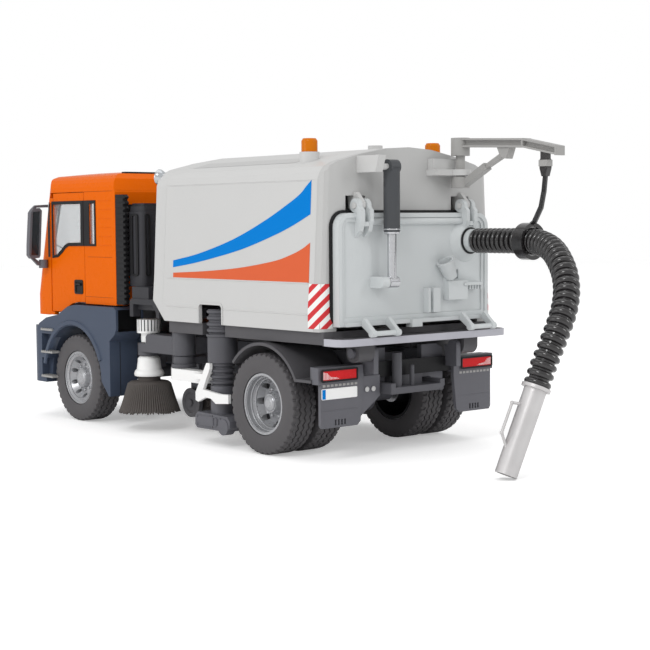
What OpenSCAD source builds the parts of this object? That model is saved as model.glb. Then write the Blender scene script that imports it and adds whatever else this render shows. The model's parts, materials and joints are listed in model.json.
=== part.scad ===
// Toy street sweeper truck at 1:16, millimetres, +X right, +Y forward, +Z up, floor at z = 0

/* [Wheels] */
// distance between the two axles
wheelbase = 230; // [224:1:238]
// outer radius of every tyre
tyre_r = 33; // [31:0.5:34]
// width of one tyre
tyre_w = 20; // [18:0.5:21]
// radius where a tyre sits on its rim
rim_r = 20; // [18:0.5:21]
// radius of the axle stubs
stub_r = 3; // [2:0.25:4]

/* [Cab] */
// half of the cab width
cab_hw = 76; // [74:0.5:78]
// cab front ahead of the front axle
cab_nose = 65; // [63:0.5:67]
// top of the cab roof
cab_top = 190; // [187:0.5:194]
// thickness of the cab walls and doors
cab_wall = 2.4; // [2:0.1:3]

/* [Container] */
// half of the container width at the floor
box_hw = 77; // [75:0.5:79]
// container front ahead of the rear axle
box_front = 125; // [120:1:127]
// container roof at the middle
box_top = 197.5; // [194:0.5:202]
// thickness of the container walls
box_wall = 2.4; // [2:0.1:3]

/* [Rear arm] */
// reach of the hose arm behind its post
boom_reach = 85; // [79:1:91]
// radius of the arm post
post_r = 3; // [2.5:0.25:3.5]
// outer radius of the suction hose
hose_r = 8; // [7:0.25:8.5]

/* [Lift cylinder] */
// outer radius of the cylinder barrel
barrel_r = 5.2; // [4.5:0.1:5.4]
// radius of the cylinder rod
rod_r = 3; // [2.5:0.25:3.5]

/* [Side brooms] */
// radius of a broom at the bristle tips
brush_r = 23; // [20:0.5:24]
// radius of the broom spindle
spindle_r = 2.5; // [2:0.25:3]

/* [Fits] */
// gap round a turning pin
run_gap = 0.05; // [0.03:0.01:0.1]
// gap between pieces that move past each other
free_gap = 0.5; // [0.3:0.05:0.7]

/* [Hidden] */
$fn = 48;
// frame: middle of the overall length sits over the origin
arm_post_y = -66;
boom_end_y = arm_post_y - boom_reach;
rear_axle_y = -(wheelbase + cab_nose + boom_end_y) / 2;
fa = wheelbase;
axle_z = tyre_r;
front_face_x = 76.5;
rear_face_x = 79;
twin_gap = 4;
bore_r = stub_r + run_gap;
rail_x0 = 17;
rail_x1 = 27;
rail_z0 = 50;
rail_z1 = 66;
base_z0 = 74;
base_z1 = 82;
wall_z1 = box_top - 21.5;
tip_y = -60;
tip_z = 68;
tip_r = 3;
gate_y = -61;
gate_z = box_top - 37.5;
gate_pin_r = 2;
hitch_pin_r = 1.5;
beacon_x = 55;
beacon_y = -22;
beacon_z = box_top - 3;
beacon_r = 5.2;
gate_t = 4;
hinge_at = 46.5;
platform_z0 = 73.5;
platform_z1 = 78;
ram_x = -28.5;
ram_y = -70;
ram_z = box_top - 13.5;
ram_pin_r = 2;
eye_z = 112;
post_x = 37;
port_x = 46;
port_z = 137;
broom_x = -63;
broom_y = fa - 78;
pivot_x = -65;
pivot_y = 105;
pivot_r = 4;
roller_x = 46;
roller_y = 114.5;
roller_z = 22;
roller_r = 10.5;
roller_pin_r = 2.5;
// post of the hose arm: shelf under it, foot and head
shelf_z = box_top - 14;
arm_foot_z = box_top - 26;
arm_head_z = box_top + 6.5;
// suction unit on each side: middle of its pipe, and its mouth above the floor
pipe_x = box_hw - 10;
pipe_y = 57;
mouth_z0 = 11;
mouth_z1 = 22;
// windscreen: foot, head and the lean between them
screen_z0 = 117;
screen_z1 = cab_top - 20;
screen_y0 = fa + cab_nose - 5;
screen_y1 = fa + cab_nose - 17.5;
lean = atan((screen_y0 - screen_y1) / (screen_z1 - screen_z0));
side_lean = atan(4.7 / (wall_z1 - base_z1));
corner_r = 5;
cab_pivot_y = fa + cab_nose - 7;
cab_pivot_z = 76;
cab_pin_r = 2.5;
door_y0 = fa - 13;
door_y1 = fa + 36;
door_pin_r = 0.8;
hinge_y = door_y1 - cab_wall / 2;
cab_back_y = fa - 56;
fender_z = 89;
cab_z0 = fender_z + 1;
// cab and doors step down ahead of this over the front of the fender
cab_step_y = fa + 21;
cab_low = fender_z - 7.4;
cab_nose_z0 = 79.5;
window_z1 = cab_top - 25;
hinge_x = cab_hw - cab_wall / 2;
knuckle_z0 = cab_low - 1.8;
door_z0 = cab_low + 1;
knuckle_z1 = cab_top - 24;
dark = [0.22, 0.22, 0.23];
grey = [0.37, 0.37, 0.38];
light = [0.85, 0.85, 0.84];
orange = [0.94, 0.44, 0.09];
slate = [0.3, 0.34, 0.41];
white = [0.93, 0.93, 0.93];
glass = [0.7, 0.8, 0.85, 0.5];
// nozzle: top of its flange, direction to its mouth, length
nozzle_top = [-11.8, -175, 53.3];
nozzle_tilt = 22.8;
nozzle_turn = 165.5;
nozzle_len = 55;
nozzle_r = 6.8;
// suction hose route behind the truck, from the tailgate port to the nozzle
hose_start_y = -71.6;
hose_route = [
    [46, hose_start_y, 137],
    [46, -86, 137],
    [46, -100, 137],
    [46, -114, 137],
    [44.2, -128, 136],
    [38.2, -143, 132.2],
    [30.4, -156, 125.6],
    [23.2, -166.4, 117.2],
    [17, -173, 107.9],
    [10.5, -177, 98.2],
    [3.8, -178.5, 87.9],
    [-2.2, -178, 76.7],
    [-7.2, -176.6, 65.8],
    [-11.6, -175.05, 53.8]
];

module placed() {
    translate([0, rear_axle_y, 0])
        children();
}

module box(x0, x1, y0, y1, z0, z1) {
    translate([x0, y0, z0])
        cube([x1 - x0, y1 - y0, z1 - z0]);
}

module xcyl(r, x0, x1, y, z) {
    translate([x0, y, z])
        rotate([0, 90, 0])
            cylinder(r = r, h = x1 - x0);
}

module ycyl(r, y0, y1, x, z) {
    translate([x, y0, z])
        rotate([-90, 0, 0])
            cylinder(r = r, h = y1 - y0);
}

module zcyl(r, z0, z1, x, y) {
    translate([x, y, z0])
        cylinder(r = r, h = z1 - z0);
}

// outline in (y, z) drawn out along x
module side_plate(x0, x1) {
    translate([x0, 0, 0])
        rotate([90, 0, 90])
            linear_extrude(x1 - x0)
                children();
}

// outline in (x, z) drawn out along y
module cross_plate(y0, y1) {
    translate([0, y1, 0])
        rotate([90, 0, 0])
            linear_extrude(y1 - y0)
                children();
}

module both() {
    children();
    mirror([1, 0, 0])
        children();
}

// chassis

module frame() {
    color(grey)
        placed() {
            both()
                box(rail_x0, rail_x1, -46, fa + cab_nose - 15, rail_z0, rail_z1);
            for (y = [-30, 20, 75, 140, fa - 48])
                box(-rail_x0, rail_x0, y - 4, y + 4, rail_z0 + 2, rail_z1 - 2);
            both()
                difference() {
                    box(rail_x0, rail_x1, cab_pivot_y - 10, cab_pivot_y + 4, rail_z1, cab_pivot_z + 5);
                    box(rail_x0 - 1, rail_x1 + 1, cab_pivot_y - 20, cab_pivot_y - 9, rail_z1 + 4, 99);
                }
            both()
                xcyl(cab_pin_r, rail_x1, rail_x1 + 9, cab_pivot_y, cab_pivot_z);
        }
}

module front_bumper() {
    r = 14;
    color(slate)
        placed()
            difference() {
                translate([0, fa + cab_nose - 15, 27])
                    linear_extrude(44) {
                        translate([-80 + r, 0])
                            square([160 - 2 * r, 15]);
                        translate([-80, 0])
                            square([160, 15 - r]);
                        for (s = [-1, 1])
                            intersection() {
                                translate([s * (80 - r), 15 - r])
                                    circle(r);
                                translate([-80, 0])
                                    square([160, 15]);
                            }
                    }
                both()
                    box(42, 66, fa + cab_nose - 3, fa + cab_nose + 1, 42, 60);
                box(-30, 30, fa + cab_nose - 2, fa + cab_nose + 1, 34, 58);
                both()
                    box(rail_x0 - 1, rail_x1 + 9.5, cab_pivot_y - 11, cab_pivot_y + 8, 62, 80);
            }
}

module headlights() {
    color([0.92, 0.94, 0.95])
        placed()
            both()
                box(42, 66, fa + cab_nose - 3, fa + cab_nose - 0.5, 42, 60);
}

// outline of a fender in (y, z), with its two steps ahead of the wheel
module fender_outline() {
    front_y = fa + cab_nose - 15;
    rear_y = fa - 61;
    difference() {
        polygon([
            [rear_y + 9, 23],
            [rear_y + 11, 23],
            [fa - 34, 40],
            [fa + 22, 40],
            [fa + 22, 27],
            [front_y, 27],
            [front_y, 72.6],
            [fa + 39, 77.5],
            [cab_step_y - 0.5, cab_low - 1],
            [cab_step_y - 7, fender_z - 5],
            [cab_step_y - 15, fender_z - 1.6],
            [fa - 4, fender_z],
            [rear_y + 3, fender_z],
            [rear_y, fender_z - 2],
            [rear_y, 73],
            [rear_y + 2, 69],
            [rear_y + 9, 64]
        ]);
        translate([fa, axle_z])
            circle(tyre_r + 7, $fn = 96);
    }
}

module step_fenders() {
    front_y = fa + cab_nose - 15;
    rear_y = fa - 61;
    color(slate)
        placed()
            both()
                difference() {
                    side_plate(56, 80)
                        fender_outline();
                    for (z = [31, 50])
                        box(74, 81, fa + 27, front_y - 4, z, z + 15);
                    box(58, 78, rear_y - 1, rear_y + 7, 71, fender_z - 2);
                }
    color(slate)
        placed()
            both()
                box(rail_x1, 56, fa - 50, fa - 46, rail_z0 + 4, rail_z1);
}

module engine() {
    color(dark)
        placed() {
            box(-rail_x0, rail_x0, fa - 28, fa + 38, 48, 84);
            box(-12, 12, fa - 28, fa + 30, 84, 87);
            ycyl(13, fa - 44, fa - 28, 0, 62);
            box(-14, 14, fa + 38, fa + 41, 52, 80);
        }
}

module spring(y, z) {
    both() {
        box(rail_x0 + 1, rail_x1 - 1, y - 34, y + 34, z, z + 4);
        box(rail_x0 + 1, rail_x1 - 1, y - 24, y + 24, z - 3, z);
        for (s = [-1, 1])
            box(rail_x0 + 1, rail_x1 - 1, y + s * 32 - 3, y + s * 32 + 3, z + 4, rail_z0);
    }
}

module front_axle() {
    color(dark)
        placed() {
            xcyl(5, -44, 44, fa, axle_z);
            spring(fa, axle_z + 7);
            both()
                box(rail_x0 + 1, rail_x1 - 1, fa - 6, fa + 6, axle_z, axle_z + 5);
            both()
                xcyl(stub_r, 44, front_face_x - 5, fa, axle_z);
        }
}

module rear_axle() {
    color(dark)
        placed() {
            xcyl(6, -32, 32, 0, axle_z);
            xcyl(12, -11, 11, 0, axle_z);
            spring(0, axle_z + 7);
            both()
                box(rail_x0 + 1, rail_x1 - 1, -6, 6, axle_z, axle_z + 5);
            both()
                xcyl(stub_r, 32, rear_face_x - 12, 0, axle_z);
            ycyl(3, 6, fa - 44, 0, axle_z + 8);
        }
}

module tail_board() {
    back_y = -56;
    color(dark)
        placed() {
            box(-76, 76, back_y + 2.5, -46, 52, 60);
            both() {
                box(40.5, 78, back_y, -50, 49.5, 60);
                difference() {
                    cross_plate(back_y, back_y + 2.5)
                        polygon([
                            [74.6, 22],
                            [46, 22],
                            [43.2, 24.5],
                            [40.5, 47],
                            [40.5, 49.5],
                            [76, 49.5],
                            [76, 24]
                        ]);
                    for (k = [0 : 3])
                        box(55.5 + k * 2.6, 56.9 + k * 2.6, back_y - 1, back_y + 3, 23.5, 27);
                }
                box(35, 39, -64, back_y + 3, 54, tip_z);
                xcyl(4, 35, 39, tip_y, tip_z);
                xcyl(tip_r, 39, 55, tip_y, tip_z);
                cross_plate(-50, -46)
                    polygon([
                        [16.5, 47.5],
                        [24.6, 47.5],
                        [24.6, 40.5],
                        [36, 37],
                        [36, 66],
                        [30, 69],
                        [16.5, 69]
                    ]);
            }
            reflector_plate(back_y);
        }
}

// plate with two round reflectors beside the left flap
module reflector_plate(y) {
    cross_plate(y + 0.5, y + 2.5)
        polygon([
            [-43, 27],
            [-26, 39],
            [-26, 52.5],
            [-41, 52.5]
        ]);
    for (x = [-32, -37.5])
        ycyl(2, y, y + 0.5, x, 44);
}

module tail_lamps() {
    color([0.83, 0.19, 0.19])
        placed()
            both()
                box(47.5, 75.5, -57.2, -56, 52, 58);
}

module tow_hitch() {
    color(grey)
        placed() {
            difference() {
                union() {
                    box(-24, 24, -64, -46, 40, 44.2);
                    box(-14, 14, -53, -46, 44.2, 52);
                    both()
                        box(20, 24, -64, -46, 44.2, 47);
                }
                cross_plate(-70, -63)
                    polygon([
                        [16, 39],
                        [25, 39],
                        [25, 43]
                    ]);
            }
            zcyl(hitch_pin_r, 44.2, 57.2, 0, -58);
            zcyl(3.3, 44, 66, -12.8, -57.3);
        }
}

module rear_mudguards() {
    color(grey)
        placed()
            both() {
                side_plate(37, 79)
                    intersection() {
                        difference() {
                            translate([0, axle_z])
                                circle(tyre_r + 7, $fn = 96);
                            translate([0, axle_z])
                                circle(tyre_r + 5, $fn = 96);
                        }
                        polygon([
                            [0, axle_z],
                            [48, axle_z + 40],
                            [0, axle_z + 70],
                            [-90, axle_z + 70],
                            [-90, axle_z + 45]
                        ]);
                    }
                box(44, 79, -50, -34.5, 50.2, 52);
                box(rail_x1, 38, -5, 5, axle_z + tyre_r + 5.2, axle_z + tyre_r + 6.6);
                box(rail_x1, rail_x1 + 2, -5, 5, 58, axle_z + tyre_r + 5.2);
            }
}

module intake_stack() {
    back_y = box_front - 6;
    front_y = fa - 73.5;
    color(dark)
        placed() {
            box(-27, -17, front_y - 26, front_y, rail_z1, 88);
            box(-72, -17, front_y - 26, front_y, 88, 92);
            side_plate(-76, -70)
                polygon([
                    [front_y - 4.5, 83],
                    [front_y, 83],
                    [front_y, 94],
                    [front_y - 2, 96],
                    [back_y + 8, 96],
                    [back_y, 88],
                    [back_y, 83],
                    [back_y + 4, 83],
                    [back_y + 4, 87],
                    [back_y + 9, 92],
                    [front_y - 4.5, 92]
                ]);
            box(-75, -50, front_y - 23, front_y - 2, 92, 104.5);
            translate([-60, fa - 74, 104.5])
                intake_duct(22, 20, 60);
        }
}

// upright air duct with rounded corners, a stepped head and a half-round pipe down its outer face
module intake_duct(w, d, h) {
    q = 4;
    for (k = [[0, h - 6, 0], [h - 6, h - 2, 1], [h - 2, h, 2.5]])
        translate([0, 0, k[0]])
            linear_extrude(k[1] - k[0])
                union() {
                    square([w - 2 * q, d - 2 * k[2]], center = true);
                    square([w - 2 * k[2], d - 2 * q], center = true);
                    for (x = [-1, 1])
                        for (y = [-1, 1])
                            translate([x * (w / 2 - q), y * (d / 2 - q)])
                                circle(q - k[2], $fn = 32);
                }
    translate([2, -d / 2, 2])
        cylinder(r = 3.2, h = h - 16);
}

module broom_posts() {
    color(grey)
        placed()
            both() {
                zcyl(8.8, 49, 51.5, pivot_x, pivot_y);
                zcyl(7.2, 51.5, 57, pivot_x, pivot_y);
                zcyl(pivot_r, 57, 72, pivot_x, pivot_y);
                box(pivot_x, -rail_x1, pivot_y - 5, roller_y + 5, 51, 56);
                difference() {
                    box(-roller_x - 3, -roller_x, roller_y - 5, roller_y + 5, roller_z - 5, 51);
                    xcyl(roller_pin_r + run_gap, -70, -40, roller_y, roller_z);
                }
            }
}

// half section of a bellows: rings of the given pitch between two heights
function rings(z0, z1, n, r0, r1) =
    let (p = (z1 - z0) / n)
    [
        for (k = [0 : n - 1])
            each [[r0, z0 + k * p], [r0, z0 + (k + 0.2) * p], [r1, z0 + (k + 0.45) * p], [r1, z0 + (k + 0.75) * p]]
    ];

module suction_bellows() {
    color(grey)
        placed()
            both()
                translate([-pipe_x, pipe_y, 0])
                    rotate_extrude()
                        polygon(concat(
                            [[0, 40]],
                            rings(40, 56, 4, 7.2, 8.6),
                            [[10.2, 56], [10.2, 73], [11, 73.6], [11, 75]],
                            rings(75, 92, 4, 9, 10.4),
                            [[9, 92], [0, 92]]
                        ));
}

module suction_mouths() {
    back_y = pipe_y - 23;
    color(dark)
        placed()
            both() {
                difference() {
                    side_plate(-box_hw - 2, -50)
                        polygon([
                            [back_y, mouth_z0 + 3],
                            [back_y + 3, mouth_z0],
                            [back_y + 37, mouth_z0],
                            [back_y + 39, mouth_z0 + 2],
                            [back_y + 39, mouth_z1 - 3],
                            [back_y + 36, mouth_z1],
                            [back_y + 3, mouth_z1 - 1],
                            [back_y, mouth_z1 - 4]
                        ]);
                    box(-box_hw + 1, -53, back_y + 8, back_y + 34, mouth_z0 - 1, mouth_z0 + 6);
                }
                xcyl(5.5, -box_hw - 2.6, -box_hw + 4, back_y + 7, mouth_z0 + 3);
                zcyl(8.4, mouth_z1 - 2, 40, -pipe_x, pipe_y);
            }
}

// white lift link: block under the frame, slanted stay and the curved arm on the mouth, in (y, z)
module suction_links() {
    color(white)
        placed()
            both() {
                translate([0, 0, 40.5])
                    linear_extrude(8.2)
                        polygon([
                            [-pipe_x - 1, 67],
                            [-pipe_x - 8, 73],
                            [-pipe_x - 8, 106],
                            [-pipe_x - 3, 114],
                            [-pipe_x, 114],
                            [-pipe_x, 67]
                        ]);
                side_plate(-pipe_x - 11.5, -pipe_x - 9)
                    polygon([
                        [73, 29.5],
                        [73, 35],
                        [60.2, 55.7],
                        [56.4, 55.7],
                        [56.4, 52],
                        [64.5, 37.5],
                        [55.6, 36.5],
                        [45.7, 35.7],
                        [36, 36],
                        [36, 30],
                        [50, 28.8],
                        [55.7, 31.9],
                        [61.4, 32.2],
                        [70, 28.6]
                    ]);
                box(-pipe_x - 11.5, -pipe_x - 7.5, 62, 75, 44, 48);
            }
}

module roller_broom() {
    color([0.2, 0.2, 0.2])
        placed() {
            xcyl(roller_r, -roller_x + free_gap, roller_x - free_gap, roller_y, roller_z);
            xcyl(roller_pin_r, -roller_x - 4, roller_x + 4, roller_y, roller_z);
            both()
                xcyl(roller_r, roller_x + 3 + free_gap, roller_x + 8, roller_y, roller_z);
        }
}

// side brooms

module broom_arm() {
    placed()
        difference() {
            union() {
                zcyl(8.2, 57 + free_gap, 74, pivot_x, pivot_y);
                zcyl(8, 54.5, 63.5, broom_x, broom_y);
                box(broom_x - 8, broom_x + 4, pivot_y, broom_y, 57 + free_gap, 63.5);
                side_plate(broom_x - 8, broom_x + 4)
                    polygon([
                        [pivot_y, 63],
                        [broom_y - 8, 63],
                        [broom_y - 8, 68.5],
                        [broom_y - 10, 70.5],
                        [pivot_y, 70.5]
                    ]);
            }
            zcyl(pivot_r + run_gap, 50, 72 + free_gap, pivot_x, pivot_y);
            zcyl(spindle_r + run_gap, 50, 80, broom_x, broom_y);
        }
}

module broom_arm_left() {
    color(grey)
        broom_arm();
}

module broom_arm_right() {
    color(grey)
        mirror([1, 0, 0])
            broom_arm();
}

module broom_spindle() {
    placed() {
        difference() {
            zcyl(8.4, 70.8, 80.6, broom_x, broom_y);
            for (k = [0 : 19])
                translate([broom_x, broom_y, 0])
                    rotate([0, 0, k * 18])
                        zcyl(0.7, 72.2, 81, 8.7, 0);
        }
        zcyl(5.5, 63.5 + free_gap, 70.8, broom_x, broom_y);
        zcyl(spindle_r, 50, 63.5 + free_gap, broom_x, broom_y);
        translate([broom_x, broom_y, 0])
            rotate_extrude()
                polygon([
                    [0, 39.5],
                    [10.6, 39.5],
                    [10.9, 41],
                    [10.4, 43],
                    [9, 44.5],
                    [8, 52.4],
                    [6.5, 54.5 - free_gap],
                    [0, 54.5 - free_gap]
                ]);
    }
}

module broom_spindle_left() {
    color(white)
        broom_spindle();
}

module broom_spindle_right() {
    color(white)
        mirror([1, 0, 0])
            broom_spindle();
}

module broom_brush() {
    placed()
        translate([broom_x, broom_y, 0])
            rotate_extrude()
                polygon([
                    [0, 16],
                    [brush_r - 5, 16],
                    [brush_r - 1, 13],
                    [brush_r, 13.4],
                    [brush_r - 7, 34],
                    [brush_r - 9, 35.4],
                    [8.2, 36],
                    [8.2, 39.5],
                    [0, 39.5]
                ]);
}

module broom_brush_left() {
    color([0.29, 0.27, 0.25])
        broom_brush();
}

module broom_brush_right() {
    color([0.29, 0.27, 0.25])
        mirror([1, 0, 0])
            broom_brush();
}

// cab

// solid cab form, drawn in by i on every side
module cab_form(i) {
    r = 14;
    intersection() {
        side_plate(-cab_hw + i, cab_hw - i)
            polygon(concat(
                [
                    [cab_back_y + i, 60],
                    [cab_back_y + i, cab_top - 17],
                    [cab_back_y + 4 + i, cab_top - 7 - i],
                    [cab_back_y + 9 + i, cab_top - 3 - i],
                    [fa + 8, cab_top - i]
                ],
                [
                    for (a = [75 : -15 : 0])
                        [screen_y1 - 20 + (20 - i) * cos(a), screen_z1 + 1 + (18 - i) * sin(a)]
                ],
                [
                    [screen_y0 - i, screen_z0],
                    [fa + cab_nose - 2 - i, 106],
                    [fa + cab_nose - i, 104],
                    [fa + cab_nose - i, 60]
                ]
            ));
        translate([0, fa + cab_nose - i, 40])
            linear_extrude(180)
                nose_outline(i, r);
        translate([0, screen_y0 - i, screen_z0])
            rotate([lean, 0, 0])
                translate([0, 0, -80])
                    linear_extrude(200)
                        nose_outline(i, r);
        cross_plate(fa - 100, fa + 100)
            polygon(concat(
                [[-cab_hw + i, 60], [cab_hw - i, 60]],
                cab_crown(i),
                [[0, cab_top - i]],
                flipped(cab_crown(i))
            ));
    }
}

// right half of the roof's cross section, from the wall round the edge towards the middle
function cab_crown(i) = concat(
    [for (a = [0 : 15 : 75]) [cab_hw - 12 + (12 - i) * cos(a), cab_top - 16 + (13 - i) * sin(a)]],
    [[40, cab_top - 0.8 - i]]
);

// plan of the cab with rounded front corners, front edge on y = 0
module nose_outline(i, r) {
    hw = cab_hw - i;
    q = r - i;
    right = [for (a = [0 : 15 : 90]) [hw - q + q * cos(a), -q + q * sin(a)]];
    polygon(concat([[-hw, -200], [hw, -200]], right, flipped(right)));
}

module cab_shell() {
    difference() {
        cab_form(0);
        cab_form(cab_wall);
        side_plate(-100, 100)
            polygon([
                [fa - 100, 50],
                [fa + 100, 50],
                [fa + 100, cab_nose_z0],
                [fa + 40, cab_nose_z0],
                [cab_step_y, cab_low],
                [cab_step_y - 7, fender_z - 4],
                [cab_step_y - 15, fender_z - 0.6],
                [fa - 4, cab_z0],
                [fa - 100, cab_z0]
            ]);
    }
}

roof_z = cab_top - 16;

module windscreen_cut() {
    cross_plate(fa + 20, fa + 100)
        polygon([
            [-66, screen_z0 + 5],
            [66, screen_z0 + 5],
            [62, screen_z1 - 2],
            [-62, screen_z1 - 2]
        ]);
}

module back_window_cut() {
    box(-34, 34, fa - 70, fa - 40, 130, window_z1 - 3);
}

module quarter_cut() {
    box(-100, 100, fa - 28, fa - 21, 135, window_z1);
}

module cab_back() {
    color(orange)
        placed()
            difference() {
                intersection() {
                    cab_shell();
                    box(-100, 100, fa - 100, door_y0 - free_gap, 50, roof_z);
                }
                back_window_cut();
                quarter_cut();
            }
}

module cab_front() {
    color(orange)
        placed()
            difference() {
                union() {
                    difference() {
                        intersection() {
                            cab_shell();
                            box(-100, 100, door_y1 + free_gap, fa + 100, 50, roof_z);
                        }
                        windscreen_cut();
                        box(-44, 44, fa + cab_nose - 10, fa + 100, 70, 112);
                    }
                    both() {
                        box(hinge_x - 2.4, cab_hw, hinge_y - 3, door_y1 + 6, knuckle_z0, door_z0 - free_gap);
                        box(hinge_x - 2.4, cab_hw, hinge_y - 3, door_y1 + 1, knuckle_z1, roof_z - 4);
                    }
                }
                both()
                    zcyl(door_pin_r + run_gap, knuckle_z0 - 1, door_z0, hinge_x, hinge_y);
                both()
                    zcyl(door_pin_r + run_gap, knuckle_z1 - 1, knuckle_z1 + 3 + free_gap, hinge_x, hinge_y);
            }
}

module cab_roof() {
    color(orange)
        placed()
            intersection() {
                cab_shell();
                box(-100, 100, fa - 100, fa + 100, roof_z, 220);
            }
}

module cab_glass() {
    color(glass)
        placed() {
            intersection() {
                difference() {
                    cab_form(0.6);
                    cab_form(1.6);
                }
                windscreen_cut();
            }
            intersection() {
                difference() {
                    cab_form(0.6);
                    cab_form(1.6);
                }
                union() {
                    back_window_cut();
                    quarter_cut();
                }
            }
        }
}

module grille() {
    color(dark)
        placed()
            difference() {
                intersection() {
                    difference() {
                        cab_form(0);
                        cab_form(cab_wall);
                    }
                    box(-44, 44, fa + cab_nose - 10, fa + 100, 79.5, 112);
                }
                for (z = [86, 93, 100])
                    box(-40, 40, fa + cab_nose - 1, fa + 100, z, z + 4);
            }
}

module cab_floor() {
    hw = cab_hw - cab_wall;
    color(dark)
        placed() {
            box(-hw, hw, cab_back_y + cab_wall, fa + 36, cab_z0, cab_z0 + 3);
            box(-40, 40, fa + 36, fa + cab_nose - cab_wall, cab_z0 - 4, cab_z0);
            box(-40, 40, fa + 30, fa + 36, cab_z0 - 4, cab_z0);
            both()
                difference() {
                    union() {
                        box(rail_x1 + free_gap, rail_x1 + 6, cab_pivot_y - 4.5, cab_pivot_y + 4.5, cab_pivot_z,
                            cab_z0 - 4);
                        xcyl(4.5, rail_x1 + free_gap, rail_x1 + 6, cab_pivot_y, cab_pivot_z);
                    }
                    xcyl(cab_pin_r + run_gap, rail_x1, rail_x1 + 12, cab_pivot_y, cab_pivot_z);
                }
            for (x = [-38, 38]) {
                box(x - 15, x + 15, fa - 46, fa - 14, cab_z0 + 3, cab_z0 + 22);
                box(x - 15, x + 15, fa - 52, fa - 45, cab_z0 + 3, cab_z0 + 56);
                box(x - 9, x + 9, fa - 52, fa - 46, cab_z0 + 56, cab_z0 + 66);
            }
            box(-68, 68, fa + 24, fa + 36, cab_z0 + 3, cab_z0 + 30);
            translate([-38, fa + 12, cab_z0 + 36])
                rotate([30, 0, 0])
                    difference() {
                        cylinder(r = 13, h = 3);
                        translate([0, 0, -1])
                            cylinder(r = 10.5, h = 5);
                    }
            translate([-38, fa + 12, cab_z0 + 36])
                rotate([30, 0, 0])
                    box(-11, 11, -1.5, 1.5, 0, 3);
            translate([-38, fa + 12, cab_z0 + 36])
                rotate([30, 0, 0])
                    translate([0, 0, -22])
                        cylinder(r = 2, h = 23);
        }
}

module cab_ducts() {
    rib = 4;
    count = floor((roof_z - 3 - cab_z0) / rib);
    color(dark)
        placed() {
            both() {
                box(71.5, cab_hw - 0.5, fa - 67, cab_back_y, cab_z0 + 1, roof_z - 3);
                for (k = [0 : count - 1])
                    box(74, cab_hw + 0.5, fa - 67.5, cab_back_y - 0.5, cab_z0 + 1 + k * rib,
                        cab_z0 + 3.4 + k * rib);
                box(60, 68.5, cab_back_y - 2.5, cab_back_y, cab_z0 + 22, roof_z - 10);
            }
            box(-56, 56, fa - 40, fa - 30, cab_top - 1.2, cab_top + 1.4);
        }
}

// mirror drawn on the right: rounded housing, two bent arms and the foot on the A-pillar
module mirrors() {
    y0 = fa + 39;
    z0 = screen_z0 + 8;
    z1 = window_z1 - 3;
    color(dark)
        placed()
            both() {
                difference() {
                    cross_plate(y0, y0 + 4.6)
                        polygon([
                            [83.6, z0 + 1],
                            [84.6, z0 - 1],
                            [91.4, z0 - 1.5],
                            [93.4, z0 + 1],
                            [93.2, z0 + 9],
                            [91.4, z1 - 3],
                            [89, z1],
                            [83.4, z1 + 0.5],
                            [81.6, z1 - 1.5]
                        ]);
                    cross_plate(y0 - 1, y0 + 0.8)
                        polygon([
                            [85, z0 + 1],
                            [91.6, z0 + 1],
                            [89.6, z1 - 2.5],
                            [83.2, z1 - 2]
                        ]);
                }
                cross_plate(y0 + 2, y0 + 4.5)
                    polygon([
                        [cab_hw - 1.1, z1 + 1],
                        [cab_hw - 1.1, z1 + 3.2],
                        [86, z1 + 2.6],
                        [90, z1 - 1],
                        [87.5, z1 - 1],
                        [85, z1 + 0.8],
                        [cab_hw, z1 + 1]
                    ]);
                cross_plate(y0 + 2, y0 + 4.5)
                    polygon([
                        [cab_hw + 0.2, z0 - 4.5],
                        [83, z0 - 4.5],
                        [89, z0],
                        [91.5, z0],
                        [84.5, z0 - 7],
                        [cab_hw + 0.2, z0 - 7]
                    ]);
                zcyl(3.4, z0 - 9, z0 - 2.5, cab_hw + 3.6, y0 + 3.2);
            }
}

// door drawn on the right side, hinged along its front edge

module door_form(i) {
    intersection() {
        cab_form(i);
        side_plate(40, 100)
            polygon([
                [door_y0, cab_z0 + 1],
                [fa - 4, cab_z0 + 1],
                [cab_step_y - 15, fender_z + 0.4],
                [cab_step_y - 7, fender_z - 3],
                [cab_step_y, door_z0],
                [door_y1, door_z0],
                [door_y1, roof_z - free_gap],
                [door_y0, roof_z - free_gap]
            ]);
    }
}

module door_window() {
    side_plate(40, 100)
        polygon([
            [fa - 8.5, 136],
            [fa + 10, 135.6],
            [fa + 15, 133.8],
            [fa + 20.5, 130],
            [fa + 26, 126.8],
            [fa + 31.5, 126],
            [fa + 31.5, window_z1],
            [fa - 9, window_z1]
        ]);
}

module door() {
    placed() {
        difference() {
            door_form(0);
            cab_form(cab_wall);
            door_window();
            box(40, 100, hinge_y, fa + 60, 60, 220);
            box(40, 100, hinge_y - 3 - free_gap, fa + 60, knuckle_z1 - free_gap, 220);
        }
        zcyl(cab_wall / 2 - 0.05, door_z0, knuckle_z1 - free_gap, hinge_x, hinge_y);
        zcyl(door_pin_r, knuckle_z0 + 0.8, knuckle_z1 + 3, hinge_x, hinge_y);
    }
}

module door_pane() {
    placed()
        intersection() {
            difference() {
                door_form(0.6);
                cab_form(1.6);
            }
            door_window();
        }
}

module door_left() {
    color(orange)
        mirror([1, 0, 0])
            door();
}

module door_right() {
    color(orange)
        door();
}

module door_glass_left() {
    color(glass)
        mirror([1, 0, 0])
            door_pane();
}

module door_glass_right() {
    color(glass)
        door_pane();
}

// container

// right half of the container wall line from the floor to the roof join
function wall_line(d) = [
    [box_hw - d, base_z1],
    [box_hw - d, 95],
    [box_hw - 1.4 - d, 113],
    [box_hw - 4.7 - d, wall_z1]
];

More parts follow.
